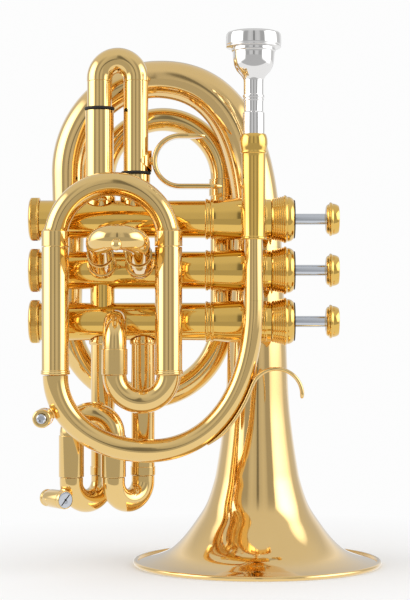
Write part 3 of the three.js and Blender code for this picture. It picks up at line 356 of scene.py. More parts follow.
def tube(path, finish="lacquer", sides=48, rim=0.2):
    stations = path["stations"]
    (first, firstGirth, firstBore), (last, lastGirth, lastBore) = stations[0], stations[-1]
    startWay = (stations[1][0] - first).normalized()
    endWay = (last - stations[-2][0]).normalized()
    full = [
        (first, firstBore, firstBore),
        (first + startWay * sliver, firstGirth - rim, firstBore),
        (first + startWay * rim, firstGirth, firstBore),
        *stations[1:-1],
        (last - endWay * rim, lastGirth, lastBore),
        (last - endWay * sliver, lastGirth - rim, lastBore),
        (last, lastBore, lastBore),
    ]
    mesh = bpy.data.meshes.new("path")
    edges = [(i, i + 1) for i in range(len(full) - 1)]
    mesh.from_pydata([home + place * mm for place, _, _ in full], edges, [])
    for label, column in (("girth", 1), ("bore", 2)):
        values = [row[column] * mm for row in full]
        mesh.attributes.new(label, "FLOAT", "POINT").data.foreach_set("value", values)
    return runTree("tube", mesh, finish, sides=sides, weld=weldReach)


# turned parts: a closed outline of radius and height, its corners softened


def softened(outline, soft, plainAngle=0.35, mostShare=0.4):
    result = []
    for i, corner in enumerate(outline):
        before, here = Vector(outline[i - 1]), Vector(corner)
        after = Vector(outline[(i + 1) % len(outline)])
        inWay, outWay = here - before, after - here
        if min(inWay.length, outWay.length, here.x) < 1e-6 or inWay.angle(outWay) < plainAngle:
            result.append(tuple(here))
            continue
        reach = min(soft, inWay.length * mostShare, outWay.length * mostShare)
        start, end = here - inWay.normalized() * reach, here + outWay.normalized() * reach
        for share in (0, 0.33, 0.67, 1):
            point = start * (1 - share) ** 2 + here * 2 * share * (1 - share) + end * share**2
            result.append(tuple(point))
    return result


def turned(outline, origin, axis, finish="lacquer", sides=64, soft=0.25):
    axis = Vector(axis).normalized()
    across = axis.orthogonal().normalized()
    other = axis.cross(across)
    verts, rings, faces = [], [], []
    for radius, height in softened(outline, soft):
        middle = Vector(origin) + axis * height
        if radius < 1e-6:
            rings.append([len(verts)] * sides)
            verts.append(middle)
            continue
        rings.append(list(range(len(verts), len(verts) + sides)))
        for i in range(sides):
            turn = 2 * math.pi * i / sides
            verts.append(middle + (across * math.cos(turn) + other * math.sin(turn)) * radius)
    for here, after in zip(rings, rings[1:] + rings[:1]):
        for i in range(sides):
            j = (i + 1) % sides
            corners = list(dict.fromkeys((here[i], here[j], after[j], after[i])))
            if len(corners) > 2:
                faces.append(tuple(corners))
    return {"verts": verts, "faces": faces, "finish": finish}


# the rows of an outline, moved along its axis
def lifted(rows, by):
    return [(radius, height + by) for radius, height in rows]


def rod(origin, axis, radius, start, end):
    return turned([(0, start), (radius, start), (radius, end), (0, end)], origin, axis, soft=0)


def polar(turn, length=1):
    return Vector((math.cos(turn), math.sin(turn))) * length


# a strip bent in the XZ plane, with rounded edges and tapered ends
def bentStrip(points, thickness, width, plane, section=20, flatPower=0.4, thickPower=0.7):
    rings, verts, faces = [], [], []
    for i, point in enumerate(points):
        before, after = points[max(i - 1, 0)], points[min(i + 1, len(points) - 1)]
        way = (after - before).normalized()
        out = Vector((-way.y, way.x))
        rings.append(list(range(len(verts), len(verts) + section)))
        for k in range(section):
            across, side = polar(2 * math.pi * k / section)
            flat = math.copysign(abs(across) ** flatPower, across) * width[i] / 2
            thick = math.copysign(abs(side) ** thickPower, side) * thickness[i] / 2
            verts.append(Vector((point.x + out.x * thick, plane + flat, point.y + out.y * thick)))
    for here, after in zip(rings, rings[1:]):
        for k in range(section):
            m = (k + 1) % section
            faces.append((here[k], after[k], after[m], here[m]))
    faces += [tuple(rings[0]), tuple(reversed(rings[-1]))]
    return {"verts": verts, "faces": faces, "finish": "lacquer"}


# a smooth line through points
def smoothLine(points, steps):
    line = []
    for i in range(len(points) - 1):
        a, b, c = points[max(i - 1, 0)], points[i], points[i + 1]
        d = points[min(i + 2, len(points) - 1)]
        square, cube = 2 * a - 5 * b + 4 * c - d, 3 * b - a - 3 * c + d
        for k in range(steps):
            t = k / steps
            line.append(0.5 * (2 * b + (c - a) * t + square * t**2 + cube * t**3))
    return line + [points[-1]]


def meshOf(parts, name):
    mesh = bpy.data.meshes.new(name)
    used = list(dict.fromkeys(part["finish"] for part in parts))
    verts, faces, slots = [], [], []
    for part in parts:
        offset = len(verts)
        verts += [home + Vector(v) * mm for v in part["verts"]]
        faces += [tuple(offset + i for i in face) for face in part["faces"]]
        slots += [used.index(part["finish"])] * len(part["faces"])
    mesh.from_pydata(verts, [], faces)
    for finish in used:
        mesh.materials.append(finishes[finish])
    mesh.polygons.foreach_set("material_index", slots)
    faceOut(mesh)
    return mesh


# turns every closed shell of a mesh to face out
def faceOut(mesh, sharpFrom=38):
    work = bmesh.new()
    work.from_mesh(mesh)
    bmesh.ops.remove_doubles(work, verts=work.verts, dist=weldReach)
    bmesh.ops.recalc_face_normals(work, faces=work.faces)
    work.to_mesh(mesh)
    work.free()
    mesh.shade_smooth()
    mesh.set_sharp_from_angle(angle=math.radians(sharpFrom))


# cuts a part where it seats on a tube or a casing
def seated(part, *cutters):
    carrier = addObject("seat", meshOf([part], "seat"))
    helpers = [addObject("cutter", meshOf([cutter], "cutter")) for cutter in cutters]
    for helper in helpers:
        modifier = carrier.modifiers.new("cut", "BOOLEAN")
        modifier.operation = "DIFFERENCE"
        modifier.solver = "MANIFOLD"
        modifier.object = helper
    return plainPart(carrier, part["finish"], *helpers)


def addPiece(name, node, *parts, body="horn", slot="lacquer"):
    piece = addObject(name, meshOf(parts, name))
    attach(piece, body)
    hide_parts(node)
    return piece


# camera, light and room

view = {"distance": 0.9, "height": 0.128, "aside": -0.0273, "lens": 106.2, "shift": 19 / 600, "sensor": 36}


def addCamera(distance, height, aside, lens, shift, sensor):
    camera = addObject("camera", bpy.data.cameras.new("camera"))
    camera.data.sensor_fit = "VERTICAL"
    camera.data.sensor_height = sensor
    camera.data.lens = lens
    camera.data.shift_y = shift
    camera.location = (home.x + aside, home.y + valvePlane * mm - distance, height)
    camera.rotation_euler = (math.pi / 2, 0, 0)
    bpy.context.scene.camera = camera


panels = {
    "aside": 0.85, "centre": -0.285, "length": 1.19, "height": 0.95, "foot": 0.05, "power": 10.5,
    "softEdge": 2.2,
}


# softboxes on both sides: brightest in the middle, fading to their edges
def addPanels(aside, centre, length, height, foot, power, softEdge):
    for side in (-1, 1):
        light = bpy.data.lights.new("sidePanel", "AREA")
        light.shape = "RECTANGLE"
        light.size = length
        light.size_y = height
        light.energy = power
        light.use_nodes = True
        tree = light.node_tree
        place = addNode(tree, "NewGeometry").outputs["Parametric"]
        split = addNode(tree, "SeparateXYZ", place).outputs
        shares = []
        for label in ("X", "Y"):
            offCentre = maths(tree, "ABSOLUTE", maths(tree, "MULTIPLY_ADD", split[label], 2, -1))
            shares.append(maths(tree, "SUBTRACT", 1, maths(tree, "POWER", offCentre, softEdge)))
        give(tree.nodes["Emission"], strength=maths(tree, "MULTIPLY", *shares))
        lamp = addObject("sidePanel", light)
        lamp.location = (side * aside, centre, foot + height / 2)
        lamp.rotation_euler = (math.pi / 2, 0, side * math.pi / 2)


room = {
    "backdrop": 0.98, "ceiling": 0.72, "ceilingFrom": 0.45, "ceilingTo": 0.8, "fill": 0.75, "table": 0.92,
    "front": 0.5,
}
wallStops = [  # bearing from the viewer's side to the back, brightness
    (0, 0.2), (0.014, 0.24), (0.022, 0.56), (0.05, 0.6), (0.09, 0.66), (0.13, 0.6), (0.16, 0.42),
    (0.24, 0.42), (0.26, 0.66), (0.75, 0.62), (0.84, 0.9), (0.95, 0.6), (1, 0.5),
]


# a pale room with a dimmer ceiling and a dim wall on the viewer's side, as the metal mirrors it
def makeWorld():
    world = bpy.data.worlds.new("studio")
    bpy.context.scene.world = world
    world.use_nodes = True
    tree = world.node_tree
    tree.nodes.clear()
    place = addNode(tree, "TexCoord").outputs["Generated"]
    split = addNode(tree, "SeparateXYZ", place).outputs
    bearing = maths(tree, "ARCTAN2", split["X"], maths(tree, "MULTIPLY", split["Y"], -1))
    wall = addNode(tree, "ValToRGB", maths(tree, "DIVIDE", maths(tree, "ABSOLUTE", bearing), math.pi))
    stops = wall.color_ramp.elements
    for stop, (position, value) in zip(stops, (wallStops[0], wallStops[-1])):
        stop.position, stop.color = position, opaque(value)
    for position, value in wallStops[1:-1]:
        stops.new(position).color = opaque(value)
    heights = room["ceilingFrom"], room["ceilingTo"]
    share = spread(tree, split["Z"], 0, 1, *heights, interpolation_type="SMOOTHSTEP")
    mirrored = addNode(tree, "Background", tinted(tree, share, wall, room["ceiling"]), 1)
    seen = addNode(tree, "Background", 1, room["backdrop"])
    fill = addNode(tree, "Background", 1, room["fill"])
    rays = addNode(tree, "LightPath").outputs
    byGloss = addNode(tree, "MixShader", rays["Is Glossy Ray"], fill, mirrored)
    byCamera = addNode(tree, "MixShader", rays["Is Camera Ray"], byGloss, seen)
    addNode(tree, "OutputWorld", byCamera)


floorSizes = {
    "reach": 12, "color": 0.9, "grain": 0.01, "fadeFrom": 0.075, "fadeTo": 0.24, "tableEdge": 0.27,
    "edgeWidth": 0.03,
}


# pale floor: true shading round the foot, plain backdrop white further out
def makeFloor(reach, color, grain, fadeFrom, fadeTo, tableEdge, edgeWidth):
    bpy.ops.mesh.primitive_plane_add(size=2 * reach)
    floor = bpy.context.object
    floor.name = "floor"
    material, tree, shader, place = newMaterial("paleFloor")
    tone = tinted(tree, noiseAt(tree, place, scale=600, detail=4), color - grain, color + grain)
    give(shader, baseColor=tone, roughness=0.9, **{"Specular IOR Level": 0.1})
    away = addNode(tree, "VectorMath", place, home, operation="DISTANCE").outputs["Value"]
    fade = spread(tree, away, 0, 1, fadeFrom, fadeTo)
    white = addNode(tree, "Emission", 1, room["backdrop"])
    # for glossy rays the floor glows as painted light: table brightness over the table, dimmer front
    # brightness past its front edge
    depth = addNode(tree, "SeparateXYZ", place).outputs["Y"]
    glow = spread(tree, depth, room["table"], room["front"], -tableEdge, -tableEdge - edgeWidth)
    mirrored = addNode(tree, "Emission", 1, glow)
    rays = addNode(tree, "LightPath").outputs
    amount = maths(tree, "MULTIPLY", rays["Is Camera Ray"], fade)
    byCamera = addNode(tree, "MixShader", amount, shader, white)
    byGloss = addNode(tree, "MixShader", rays["Is Glossy Ray"], byCamera, mirrored)
    give(tree.nodes["Material Output"], surface=byGloss)
    floor.data.materials.append(material)


addCamera(**view)
addPanels(**panels)
makeWorld()
makeFloor(**floorSizes)
print("camera, panels and room ready")

# bell and its tail

bellSizes = {"rim": 64.88, "height": 165.3, "wall": 0.9, "bead": 1.3, "lip": 1.9, "lipHeight": 1.95}
bellRows = [  # share of the rim's radius, share of the height
    (0.953, 0.01), (0.833, 0.022), (0.715, 0.0425), (0.605, 0.081), (0.5, 0.134), (0.413, 0.188),
    (0.352, 0.257), (0.323, 0.312), (0.284, 0.414), (0.256, 0.519), (0.236, 0.692), (0.2155, 0.85),
    (0.198, 1),
]


def makeBell(rim, height, wall, bead, lip, lipHeight):
    rows = [Vector((radius * rim, share * height)) for radius, share in bellRows]
    outer = smoothLine([Vector((rim - lip, lipHeight)), *rows], steps=7)
    inner = []
    for i, point in enumerate(outer[:-1]):
        way = (outer[i + 1] - outer[max(i - 1, 0)]).normalized()
        inner.append(point + Vector((-way.y, way.x)) * wall)
    inner.append(Vector((outer[-1].x - wall, outer[-1].y)))
    centre = Vector((rim - bead, bead))
    # the wire's curl, from the outer sheet round to the inner one
    curl = [centre + polar(math.radians(degrees), bead) for degrees in range(125, -160, -15)]
    outline = [*reversed(outer), *curl, *inner]
    addPiece("bellFlare", "bell", turned(outline, (0, 0, 0), up, "bell", sides=160, soft=0))


valveSizes = {"footX": -116.5, "pitch": 26, "middle": 152.7}
valveHeights = {n: valveSizes["middle"] + (2 - n) * valveSizes["pitch"] for n in (1, 2, 3)}


def valveFoot(n):
    return Vector((valveSizes["footX"], valvePlane, valveHeights[n]))


def casingCutter(n, radius=9.45, start=2, end=120):
    return rod(valveFoot(n), right, radius, start, end)


# parts cut back to the casing of a valve
def onCasing(n, *parts):
    return [seated(part, casingCutter(n)) for part in parts]


bowSizes = {
    "farX": -98.6, "endHeight": 204, "crestX": -52, "crestHeight": 253.3, "startHandle": 60,
    "crestHandle": 34, "endShare": 0.55, "crestGirth": 9.7, "endGirth": 8.8, "jointHeight": 130,
    "jointGirth": 6.8, "wall": 0.8,
}


def makeBellBow(
    farX, endHeight, crestX, crestHeight, startHandle, crestHandle, endShare, crestGirth, endGirth,
    jointHeight, jointGirth, wall,
):
    rim, height = bellSizes["rim"], bellSizes["height"]
    (lowRadius, lowShare), (topRadius, topShare) = bellRows[-2:]
    slope = (lowRadius - topRadius) * rim / ((topShare - lowShare) * height)
    pinch = 3 * startHandle * slope - (topRadius * rim - crestGirth)  # carries on the bell's slope
    start, crest = Vector((0, 0, height)), Vector((crestX, 0, crestHeight))
    end = Vector((farX, 0, endHeight))
    rising = cubic(start, start + up * startHandle, crest + right * crestHandle, crest)
    beyondCrest = crest + Vector(((end.x - crest.x) * endShare, 0, 0))
    aboveEnd = end + Vector((0, 0, (crest.z - end.z) * endShare))
    path = startPath(start, up, topRadius * rim, wall)
    along(path, rising, crestGirth, steps=60, pinch=pinch)
    along(path, cubic(crest, beyondCrest, aboveEnd, end), endGirth, steps=60)
    ahead(path, endHeight - jointHeight, jointGirth, steps=12)
    addPiece("bellBow", "bell_bow", tube(path, "bell", sides=96, rim=sliver))


coilSizes = {
    "ringUp": 3, "ringDown": 2.4, "jointWall": 1.5, "ringRise": 0.7, "legX": -18.2, "girth": 6.25,
    "top": 202, "ringLength": 9, "seamDrop": 1.2,
}


def makeCoilBow(ringUp, ringDown, jointWall, ringRise, legX, girth, top, ringLength, seamDrop):
    farX, joint, jointGirth = (bowSizes[key] for key in ("farX", "jointHeight", "jointGirth"))
    path = startPath((farX, 0, joint + ringUp), down, jointGirth + ringRise, jointWall)
    ahead(path, 5)
    shoulder(path, jointGirth)
    path["at"] = Vector((farX, 0, joint - ringDown))
    around(path, (legX - farX) / 2, right, 180, girth, drift=(0, coilPlane, 0))
    aheadTo(path, top - ringLength)
    shoulder(path, girth + ringRise)
    aheadTo(path, top - seamDrop)
    seam(path)
    ahead(path, 0.8)
    addPiece("coilBow", "coil_bow", tube(path, sides=56))


archSizes = {
    "sink": 1, "rise": 1.3, "radius": 31.4, "girth": 6.1, "elbow": 12, "wall": 0.8,
    "collar": [(6.1, 9.2), (7.4, 9.2), (7.4, 11.6), (6.9, 12.4), (6.1, 12.4)],
}


def makeCoilArch(sink, rise, radius, girth, elbow, wall, collar):
    path = startPath((coilSizes["legX"], coilPlane, coilSizes["top"] - sink), up, girth, wall)
    ahead(path, rise)
    around(path, radius, left, 180)
    aheadTo(path, valveHeights[1] + elbow)
    around(path, elbow, front, 90)
    ahead(path, coilPlane - elbow - valvePlane)
    ring = turned(collar, (path["at"].x, valvePlane, valveHeights[1]), back)
    addPiece("coilArch", "coil_arch", *onCasing(1, tube(path, sides=56), ring))


makeBell(**bellSizes)
makeBellBow(**bowSizes)
makeCoilBow(**coilSizes)
makeCoilArch(**archSizes)
print("bell and tail made")

# valves

casingRows = [  # radius, distance from the foot
    (8.45, 1.8), (9.2, 1.8), (9.2, 5.4), (9.55, 5.4), (9.55, 89.4), (10.35, 89.5), (10.35, 90.5),
    (9.95, 90.7), (9.95, 91.9), (10.35, 92.1), (10.35, 93.1), (9.8, 93.4), (10, 96), (10.35, 100),
    (10.66, 104), (10.78, 107), (10.72, 110), (10.5, 114), (10.3, 117.5), (10.2, 119), (10.45, 119.2),
    (10.45, 120.2), (10.2, 120.4), (10.2, 122.7), (9.2, 122.7), (9.2, 128), (8.45, 128),
]
bottomSizes = {"rim": 11, "thread": 9.5, "ribs": 84, "ribRadius": 0.27, "ribLength": 2.6, "ribMiddle": 2.88}
topSizes = {
    "start": 123, "end": 134.3, "thread": 9.5, "feltEnd": 134.85, "grooves": 5, "grooveStep": 1.15,
    "neck": 10.35, "slope": 0.235,
}
topRows = [  # above the grooves
    (11.9, 129.2), (12.2, 129.5), (12.2, 130.1), (11.8, 130.7), (11.35, 131), (11.45, 131.4),
    (11.35, 132.2), (11, 133), (10.4, 133.8),
]
buttonSizes = {"stem": 2.8, "stemFoot": 118.3, "seat": 150.7, "height": 6.6, "inlay": 6.15}
buttonRows = [  # radius, distance from the button's seat
    (0, 0), (6.2, 0), (7, 0.35), (7.5, 1), (7.6, 1.5), (8.35, 1.75), (8.65, 2.3), (8.35, 3), (7.9, 3.4),
    (7.95, 3.9), (7.6, 5.2),
]
springSizes = {"foot": 84.65, "end": 115.7, "radius": 5.6, "wire": 0.55, "turns": 9, "keep": 0.51}
alongX = (0, math.pi / 2, 0)


def onValve(n, outline, finish="valve", sides=96, soft=0.25):
    return turned(outline, valveFoot(n), right, finish, sides, soft)


# a place on a valve's axis, in metres
def valvePoint(n, distance):
    return home + (valveFoot(n) + right * distance) * mm


def makeBottomCap(n, rim, thread, ribs, ribRadius, ribLength, ribMiddle):
    groove = rim - 0.35
    outline = [
        (2, 0.35), (6.6, 0), (7, 0.3), (7.6, 0.3), (8, 0), (9.3, 0.05), (rim - 0.3, 0.7), (rim, 1.3),
        (groove, 1.55), (groove, 4.2), (rim - 0.05, 4.4), (rim - 0.05, 5), (rim - 0.3, 5.3), (thread, 5.3),
        (thread, 1.5), (2, 1.5),
    ]
    edge = runTree(
        "ribs", bpy.data.meshes.new("ribs"), "valve", ribs=ribs, ringRadius=groove * mm,
        ribRadius=ribRadius * mm, ribLength=ribLength * mm, place=valvePoint(n, ribMiddle), turn=alongX,
    )
    addPiece(f"bottomCap{n}", f"bottom_cap_{n}", onValve(n, outline), edge, slot="valve_lacquer")


def makeTopCap(n, start, end, thread, feltEnd, grooves, grooveStep, neck, slope):
    flare = []
    for i in range(grooves):  # fine grooves up the flare
        u = start + 0.6 + i * grooveStep
        radius = neck + (u - start) * slope
        flare += [(radius, u), (radius + 0.14, u + 0.7), (radius - 0.12, u + 0.82), (radius - 0.1, u + 1)]
    foot = [(thread, start), (10.1, start), (neck, start + 0.4)]
    head = [(9.8, end), (3.2, end), (3.2, 132.7), (thread, 132.7)]
    cap = onValve(n, [*foot, *flare, *topRows, *head], soft=0.12)
    disc = [(3.3, end), (9.75, end), (9.75, feltEnd), (3.3, feltEnd)]
    felt = onValve(n, disc, "felt", sides=72, soft=0.15)
    addPiece(f"topCap{n}", f"top_cap_{n}", cap, felt, slot="valve_lacquer")


def makeButton(n, stem, stemFoot, seat, height, inlay):
    end = seat + height
    stemEnd = seat + 0.5
    shaft = onValve(n, [(0, stemFoot), (stem, stemFoot), (stem, stemEnd), (0, stemEnd)], "nickel", sides=48)
    rim = [(7, -0.3), (inlay + 0.4, -0.05), (inlay + 0.15, -0.3), (inlay + 0.15, -1.1), (0, -1.1)]
    button = onValve(n, lifted(buttonRows, seat) + lifted(rim, end), sides=72, soft=0.18)
    body = f"valve_{n}"
    addPiece(f"fingerButton{n}", f"finger_button_{n}", button, shaft, body=body, slot="valve_lacquer")
    angles = (1.45, 1.2, 0.9, 0.6, 0.3)
    dome = [(inlay * math.sin(a), 0.5 * (math.cos(a) - math.cos(angles[0])) - 0.15) for a in angles]
    rows = lifted([(0, -0.8), (inlay, -0.8), (inlay, -0.25), *dome, (0, 0.38)], end)
    pearl = onValve(n, rows, "pearl", sides=64, soft=0.1)
    addPiece(f"buttonInlay{n}", f"button_inlay_{n}", pearl, body=body, slot="pearl")


def makeSpring(n, foot, end, radius, wire, turns, keep):
    coil = runTree(
        "spring", bpy.data.meshes.new("coil"), "steel", turns=turns, coilRadius=radius * mm,
        wireRadius=wire * mm, length=(end - foot - 2 * wire) * mm, place=valvePoint(n, foot + wire),
        turn=alongX,
    )
    spring = addPiece(f"valveSpring{n}", f"valve_spring_{n}", coil, slot="spring_steel")
    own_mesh(spring)


for n in (1, 2, 3):
    addPiece(f"valveCasing{n}", f"valve_casing_{n}", onValve(n, casingRows), slot="valve_lacquer")
    makeBottomCap(n, **bottomSizes)
    makeTopCap(n, **topSizes)
    makeButton(n, **buttonSizes)
    makeSpring(n, **springSizes)
    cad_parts[f"piston_{n}"].material_slots[0].material = finishes["nickel"]

crossoverSizes = {"girth": 6.15, "wall": 0.8, "lower": (37.1, 3, 2), "upper": (53.6, 2, 1)}


def makeCrossover(level, girth, wall, **levels):
    reach, low, high = levels[level]
    path = startPath((valveSizes["footX"] + reach, valvePlane, valveHeights[low]), up, girth, wall)
    aheadTo(path, valveHeights[high])
    pipe = seated(tube(path, "valve"), casingCutter(low), casingCutter(high))
    addPiece(f"crossover{level.title()}", f"crossover_{level}", pipe, slot="valve_lacquer")


for level in ("lower", "upper"):
    makeCrossover(level, **crossoverSizes)
print("valves made")

# first slide and thumb saddle


# a sleeve and its collar on the casing of a valve
def addSleeve(family, side, n, path, collar):
    parts = onCasing(n, tube(path), turned(collar, path["stations"][0][0], path["heading"]))
    addPiece(f"{family}Sleeve{side.title()}", f"{family}_slide_sleeve_{side}", *parts)


# a U with legs: foot, heading, side to turn to, distance between legs
def crookPath(foot, heading, towards, spacing, leg, crook, legLength, rise):
    path = startPath(foot, heading, leg)
    ahead(path, legLength - 0.4)
    seam(path)
    shoulder(path, crook, edge=0.12)
    ahead(path, rise)
    around(path, spacing / 2, towards, 180)
    ahead(path, rise)
    shoulder(path, leg, edge=0.12)
    seam(path)
    ahead(path, legLength - 0.4)
    return path


firstSizes = {
    "leftX": -80.9, "spacing": 18.5, "leg": 6.3, "crook": 6.45, "rise": 1.2, "sleeve": 7.2, "wall": 0.55,
    "foot": 189.8, "seamHeight": 248.8, "leftTop": 235.7, "rightTop": 203, "ring": 1.6,
    "collar": [(7.2, 9.2), (8.1, 9.2), (8.1, 11.2), (7.7, 12), (7.2, 12)],
}


def makeFirstSlide(
    leftX, spacing, leg, crook, rise, sleeve, wall, foot, seamHeight, leftTop, rightTop, ring, collar,
):
    edge = sleeve + 0.45
    outline = [(6.6, 0), (sleeve + 0.1, 0.05), (edge, 0.5), (edge, 1.1), (sleeve + 0.1, 1.55), (6.6, ring)]
    for side, x, top in (("left", leftX, leftTop), ("right", leftX + spacing, rightTop)):
        path = startPath((x, valvePlane, valveHeights[1]), up, sleeve, wall)
        aheadTo(path, top - ring - 0.1)
        addSleeve("first", side, 1, path, collar)
        stop = turned(outline, (x, valvePlane, top - ring), up, "rubber", sides=56, soft=0.3)
        addPiece(f"stopRing{side.title()}", f"first_slide_ring_{side}", stop, slot="stop_rubber")
    path = crookPath((leftX, valvePlane, foot), up, right, spacing, leg, crook, seamHeight - foot, rise)
    addPiece("firstCrook", "first_slide_crook", tube(path), body="first_slide")


# a plate wrapped round a tube, pointed at both ends and thicker in the middle
def wrappedPlate(centre, radius, edge, crown, halfHeight, reach):
    columns, rows = 28, 6
    verts, faces = [], []
    for outer in (False, True):
        for i in range(columns + 1):
            share = i / columns * 2 - 1
            tall = max(halfHeight * (1 - abs(share)) ** 0.9, 0.15)
            layer = polar(share * reach, radius + (edge + crown * (1 - abs(share)) ** 2 if outer else 0))
            for k in range(rows + 1):
                verts.append(Vector(centre) + Vector((*layer, (k / rows * 2 - 1) * tall)))
    step = rows + 1
    size = (columns + 1) * step
    for i in range(columns):
        for a in range(i * step, i * step + rows):
            b = a + step
            faces.append((a, a + 1, b + 1, b))
            faces.append((size + a, size + b, size + b + 1, size + a + 1))
    border = [i * step for i in range(columns + 1)] + [columns * step + k for k in range(1, step)]
    border += [i * step + rows for i in range(columns - 1, -1, -1)] + list(range(rows - 1, 0, -1))
    for a, b in zip(border, border[1:] + border[:1]):
        faces.append((a, b, b + size, a + size))
    return {"verts": verts, "faces": faces, "finish": "lacquer"}


saddleSizes = {
    "height": 208.2, "radius": 12.8, "strip": 2.6, "width": 8, "lowerArm": 21.4, "upperArm": 12.8,
    "stand": 1.9, "plate": 10.8, "edge": 0.45, "crown": 1.3, "reach": 72,
    "post": [(0, 6.2), (2.6, 6.2), (2.9, 7.1), (2.2, 7.8), (2.2, 9.4), (0, 9.4)],
}


def makeSaddle(height, radius, strip, width, lowerArm, upperArm, stand, plate, edge, crown, reach, post):
    leg = firstSizes["leg"]
    seat = Vector((firstSizes["leftX"] + firstSizes["spacing"], valvePlane, height))
    centre = Vector((seat.x + leg + stand + strip / 2 + radius, height))
    points = [centre + Vector((lowerArm * (1 - i / 14), -radius)) for i in range(14)]
    points += [centre + polar(math.radians(-90 - 180 * i / 32), radius) for i in range(33)]
    points += [centre + Vector((upperArm * (i + 1) / 10, radius)) for i in range(10)]
    tips = [math.sqrt(min(i / 3, (len(points) - 1 - i) / 6, 1)) for i in range(len(points))]
    thick = [strip * (0.45 + 0.55 * tip) for tip in tips]
    wide = [width * (0.35 + 0.65 * tip) for tip in tips]
    parts = [
        bentStrip(points, thick, wide, valvePlane),
        wrappedPlate(seat, leg + 0.02, edge, crown, plate / 2, math.radians(reach)),
        turned(post, seat, right),
    ]
    addPiece("thumbSaddle", "thumb_saddle", *parts, body="first_slide")


makeFirstSlide(**firstSizes)
makeSaddle(**saddleSizes)
print("first slide made")

# second slide, towards the viewer

secondSizes = {
    "tilt": 16, "leftReach": 37.4, "spacing": 19, "leg": 5.2, "crook": 6.1, "sleeve": 6.5, "ferrule": 0.35,
    "wall": 0.9, "sleeveEnd": 27, "legStart": 12.5, "bendStart": 43, "knob": 2.75, "stand": 1.9,
    "collar": [(6.5, 9), (7.4, 9), (7.4, 11.2), (7, 12.2), (6.5, 12.4)],
}


def makeSecondSlide(
    tilt, leftReach, spacing, leg, crook, sleeve, ferrule, wall, sleeveEnd, legStart, bendStart, knob,
    stand, collar,
):
    heading = Vector((0, -math.cos(math.radians(tilt)), math.sin(math.radians(tilt))))
    foot = valveFoot(2)
    for side, reach in (("left", leftReach), ("right", leftReach + spacing)):
        path = startPath(foot + right * reach, heading, sleeve, wall)
        ahead(path, sleeveEnd - 6.4)
        shoulder(path, sleeve + ferrule, edge=0.2)
        ahead(path, 2.2)
        seam(path, depth=0.35, width=0.5)
        ahead(path, 2.8)
        addSleeve("second", side, 2, path, collar)
    start = foot + right * leftReach + heading * legStart
    seamReach = sleeveEnd + 0.3
    lengths = seamReach - legStart, bendStart - seamReach
    path = crookPath(start, heading, right, spacing, leg, crook, *lengths)
    half = spacing / 2
    crest = foot + right * (leftReach + half) + heading * (bendStart + half)
    outwards = (right.cross(heading) + heading).normalized()
    ball = [polar(math.radians(-60 + 12.5 * i), knob) for i in range(12)]
    middle = crook + stand
    outline = [
        (0, crook - 1), (2.4, crook - 1), (2.3, crook + 0.1), (1.4, crook + 0.5),
        *((point.x, middle + point.y) for point in ball), (0, middle + knob),
    ]
    grip = turned(outline, crest, outwards, sides=40, soft=0.1)
    addPiece("secondCrook", "second_slide_crook", tube(path), grip, body="second_slide")


makeSecondSlide(**secondSizes)
print("second slide made")

# third slide, bent twice below

thirdSizes = {
    "leftX": -79.3, "rightX": -58.8, "frontPlane": -38.4, "frontLeftX": -94.3, "frontMiddleX": -73.3,
    "sleeve": 6, "wall": 0.6, "leg": 5.05, "crook": 5.9, "seamHeight": 48.6, "seamGap": 0.2, "drop": 2.4,
    "archHeight": 70, "legTop": 68, "ringLength": 4.4, "ferrule": 20.6,
    "collar": [(6, 9.2), (6.9, 9.2), (6.9, 11), (6.5, 11.8), (6, 11.8)],
}


def makeThirdSlide(
    leftX, rightX, frontPlane, frontLeftX, frontMiddleX, sleeve, wall, leg, crook, seamHeight, seamGap,
    drop, archHeight, legTop, ringLength, ferrule, collar,
):
    end, wide = seamHeight + seamGap, sleeve + 0.35
    for side, x in (("left", leftX), ("right", rightX)):
        path = startPath((x, valvePlane, valveHeights[3]), down, sleeve, wall)
        aheadTo(path, end + ringLength)
        shoulder(path, wide, edge=0.2)
        aheadTo(path, end)
        addSleeve("third", side, 3, path, collar)
    path = startPath((frontLeftX, frontPlane, end), up, wide, wall + 0.35)
    ahead(path, ferrule)
    shoulder(path, sleeve - 0.1, edge=0.2)
    aheadTo(path, archHeight)
    around(path, (frontMiddleX - frontLeftX) / 2, right, 180)
    aheadTo(path, end + 0.3 + ferrule)
    shoulder(path, wide, edge=0.2)
    aheadTo(path, end)
    addPiece("thirdArch", "third_slide_arch", tube(path))
    for side, backX, frontX in (("left", leftX, frontLeftX), ("right", rightX, frontMiddleX)):
        foot = Vector((backX, valvePlane, legTop))
        towards = Vector((frontX, frontPlane, legTop)) - foot
        path = crookPath(foot, down, towards, towards.length, leg, crook, legTop - seamHeight, drop)
        body = f"third_slide_{side}"
        addPiece(f"thirdCrook{side.title()}", f"third_slide_crook_{side}", tube(path), body=body)


makeThirdSlide(**thirdSizes)
print("third slide made")

# mouthpiece, receiver, leadpipe: radius and height up from the foot

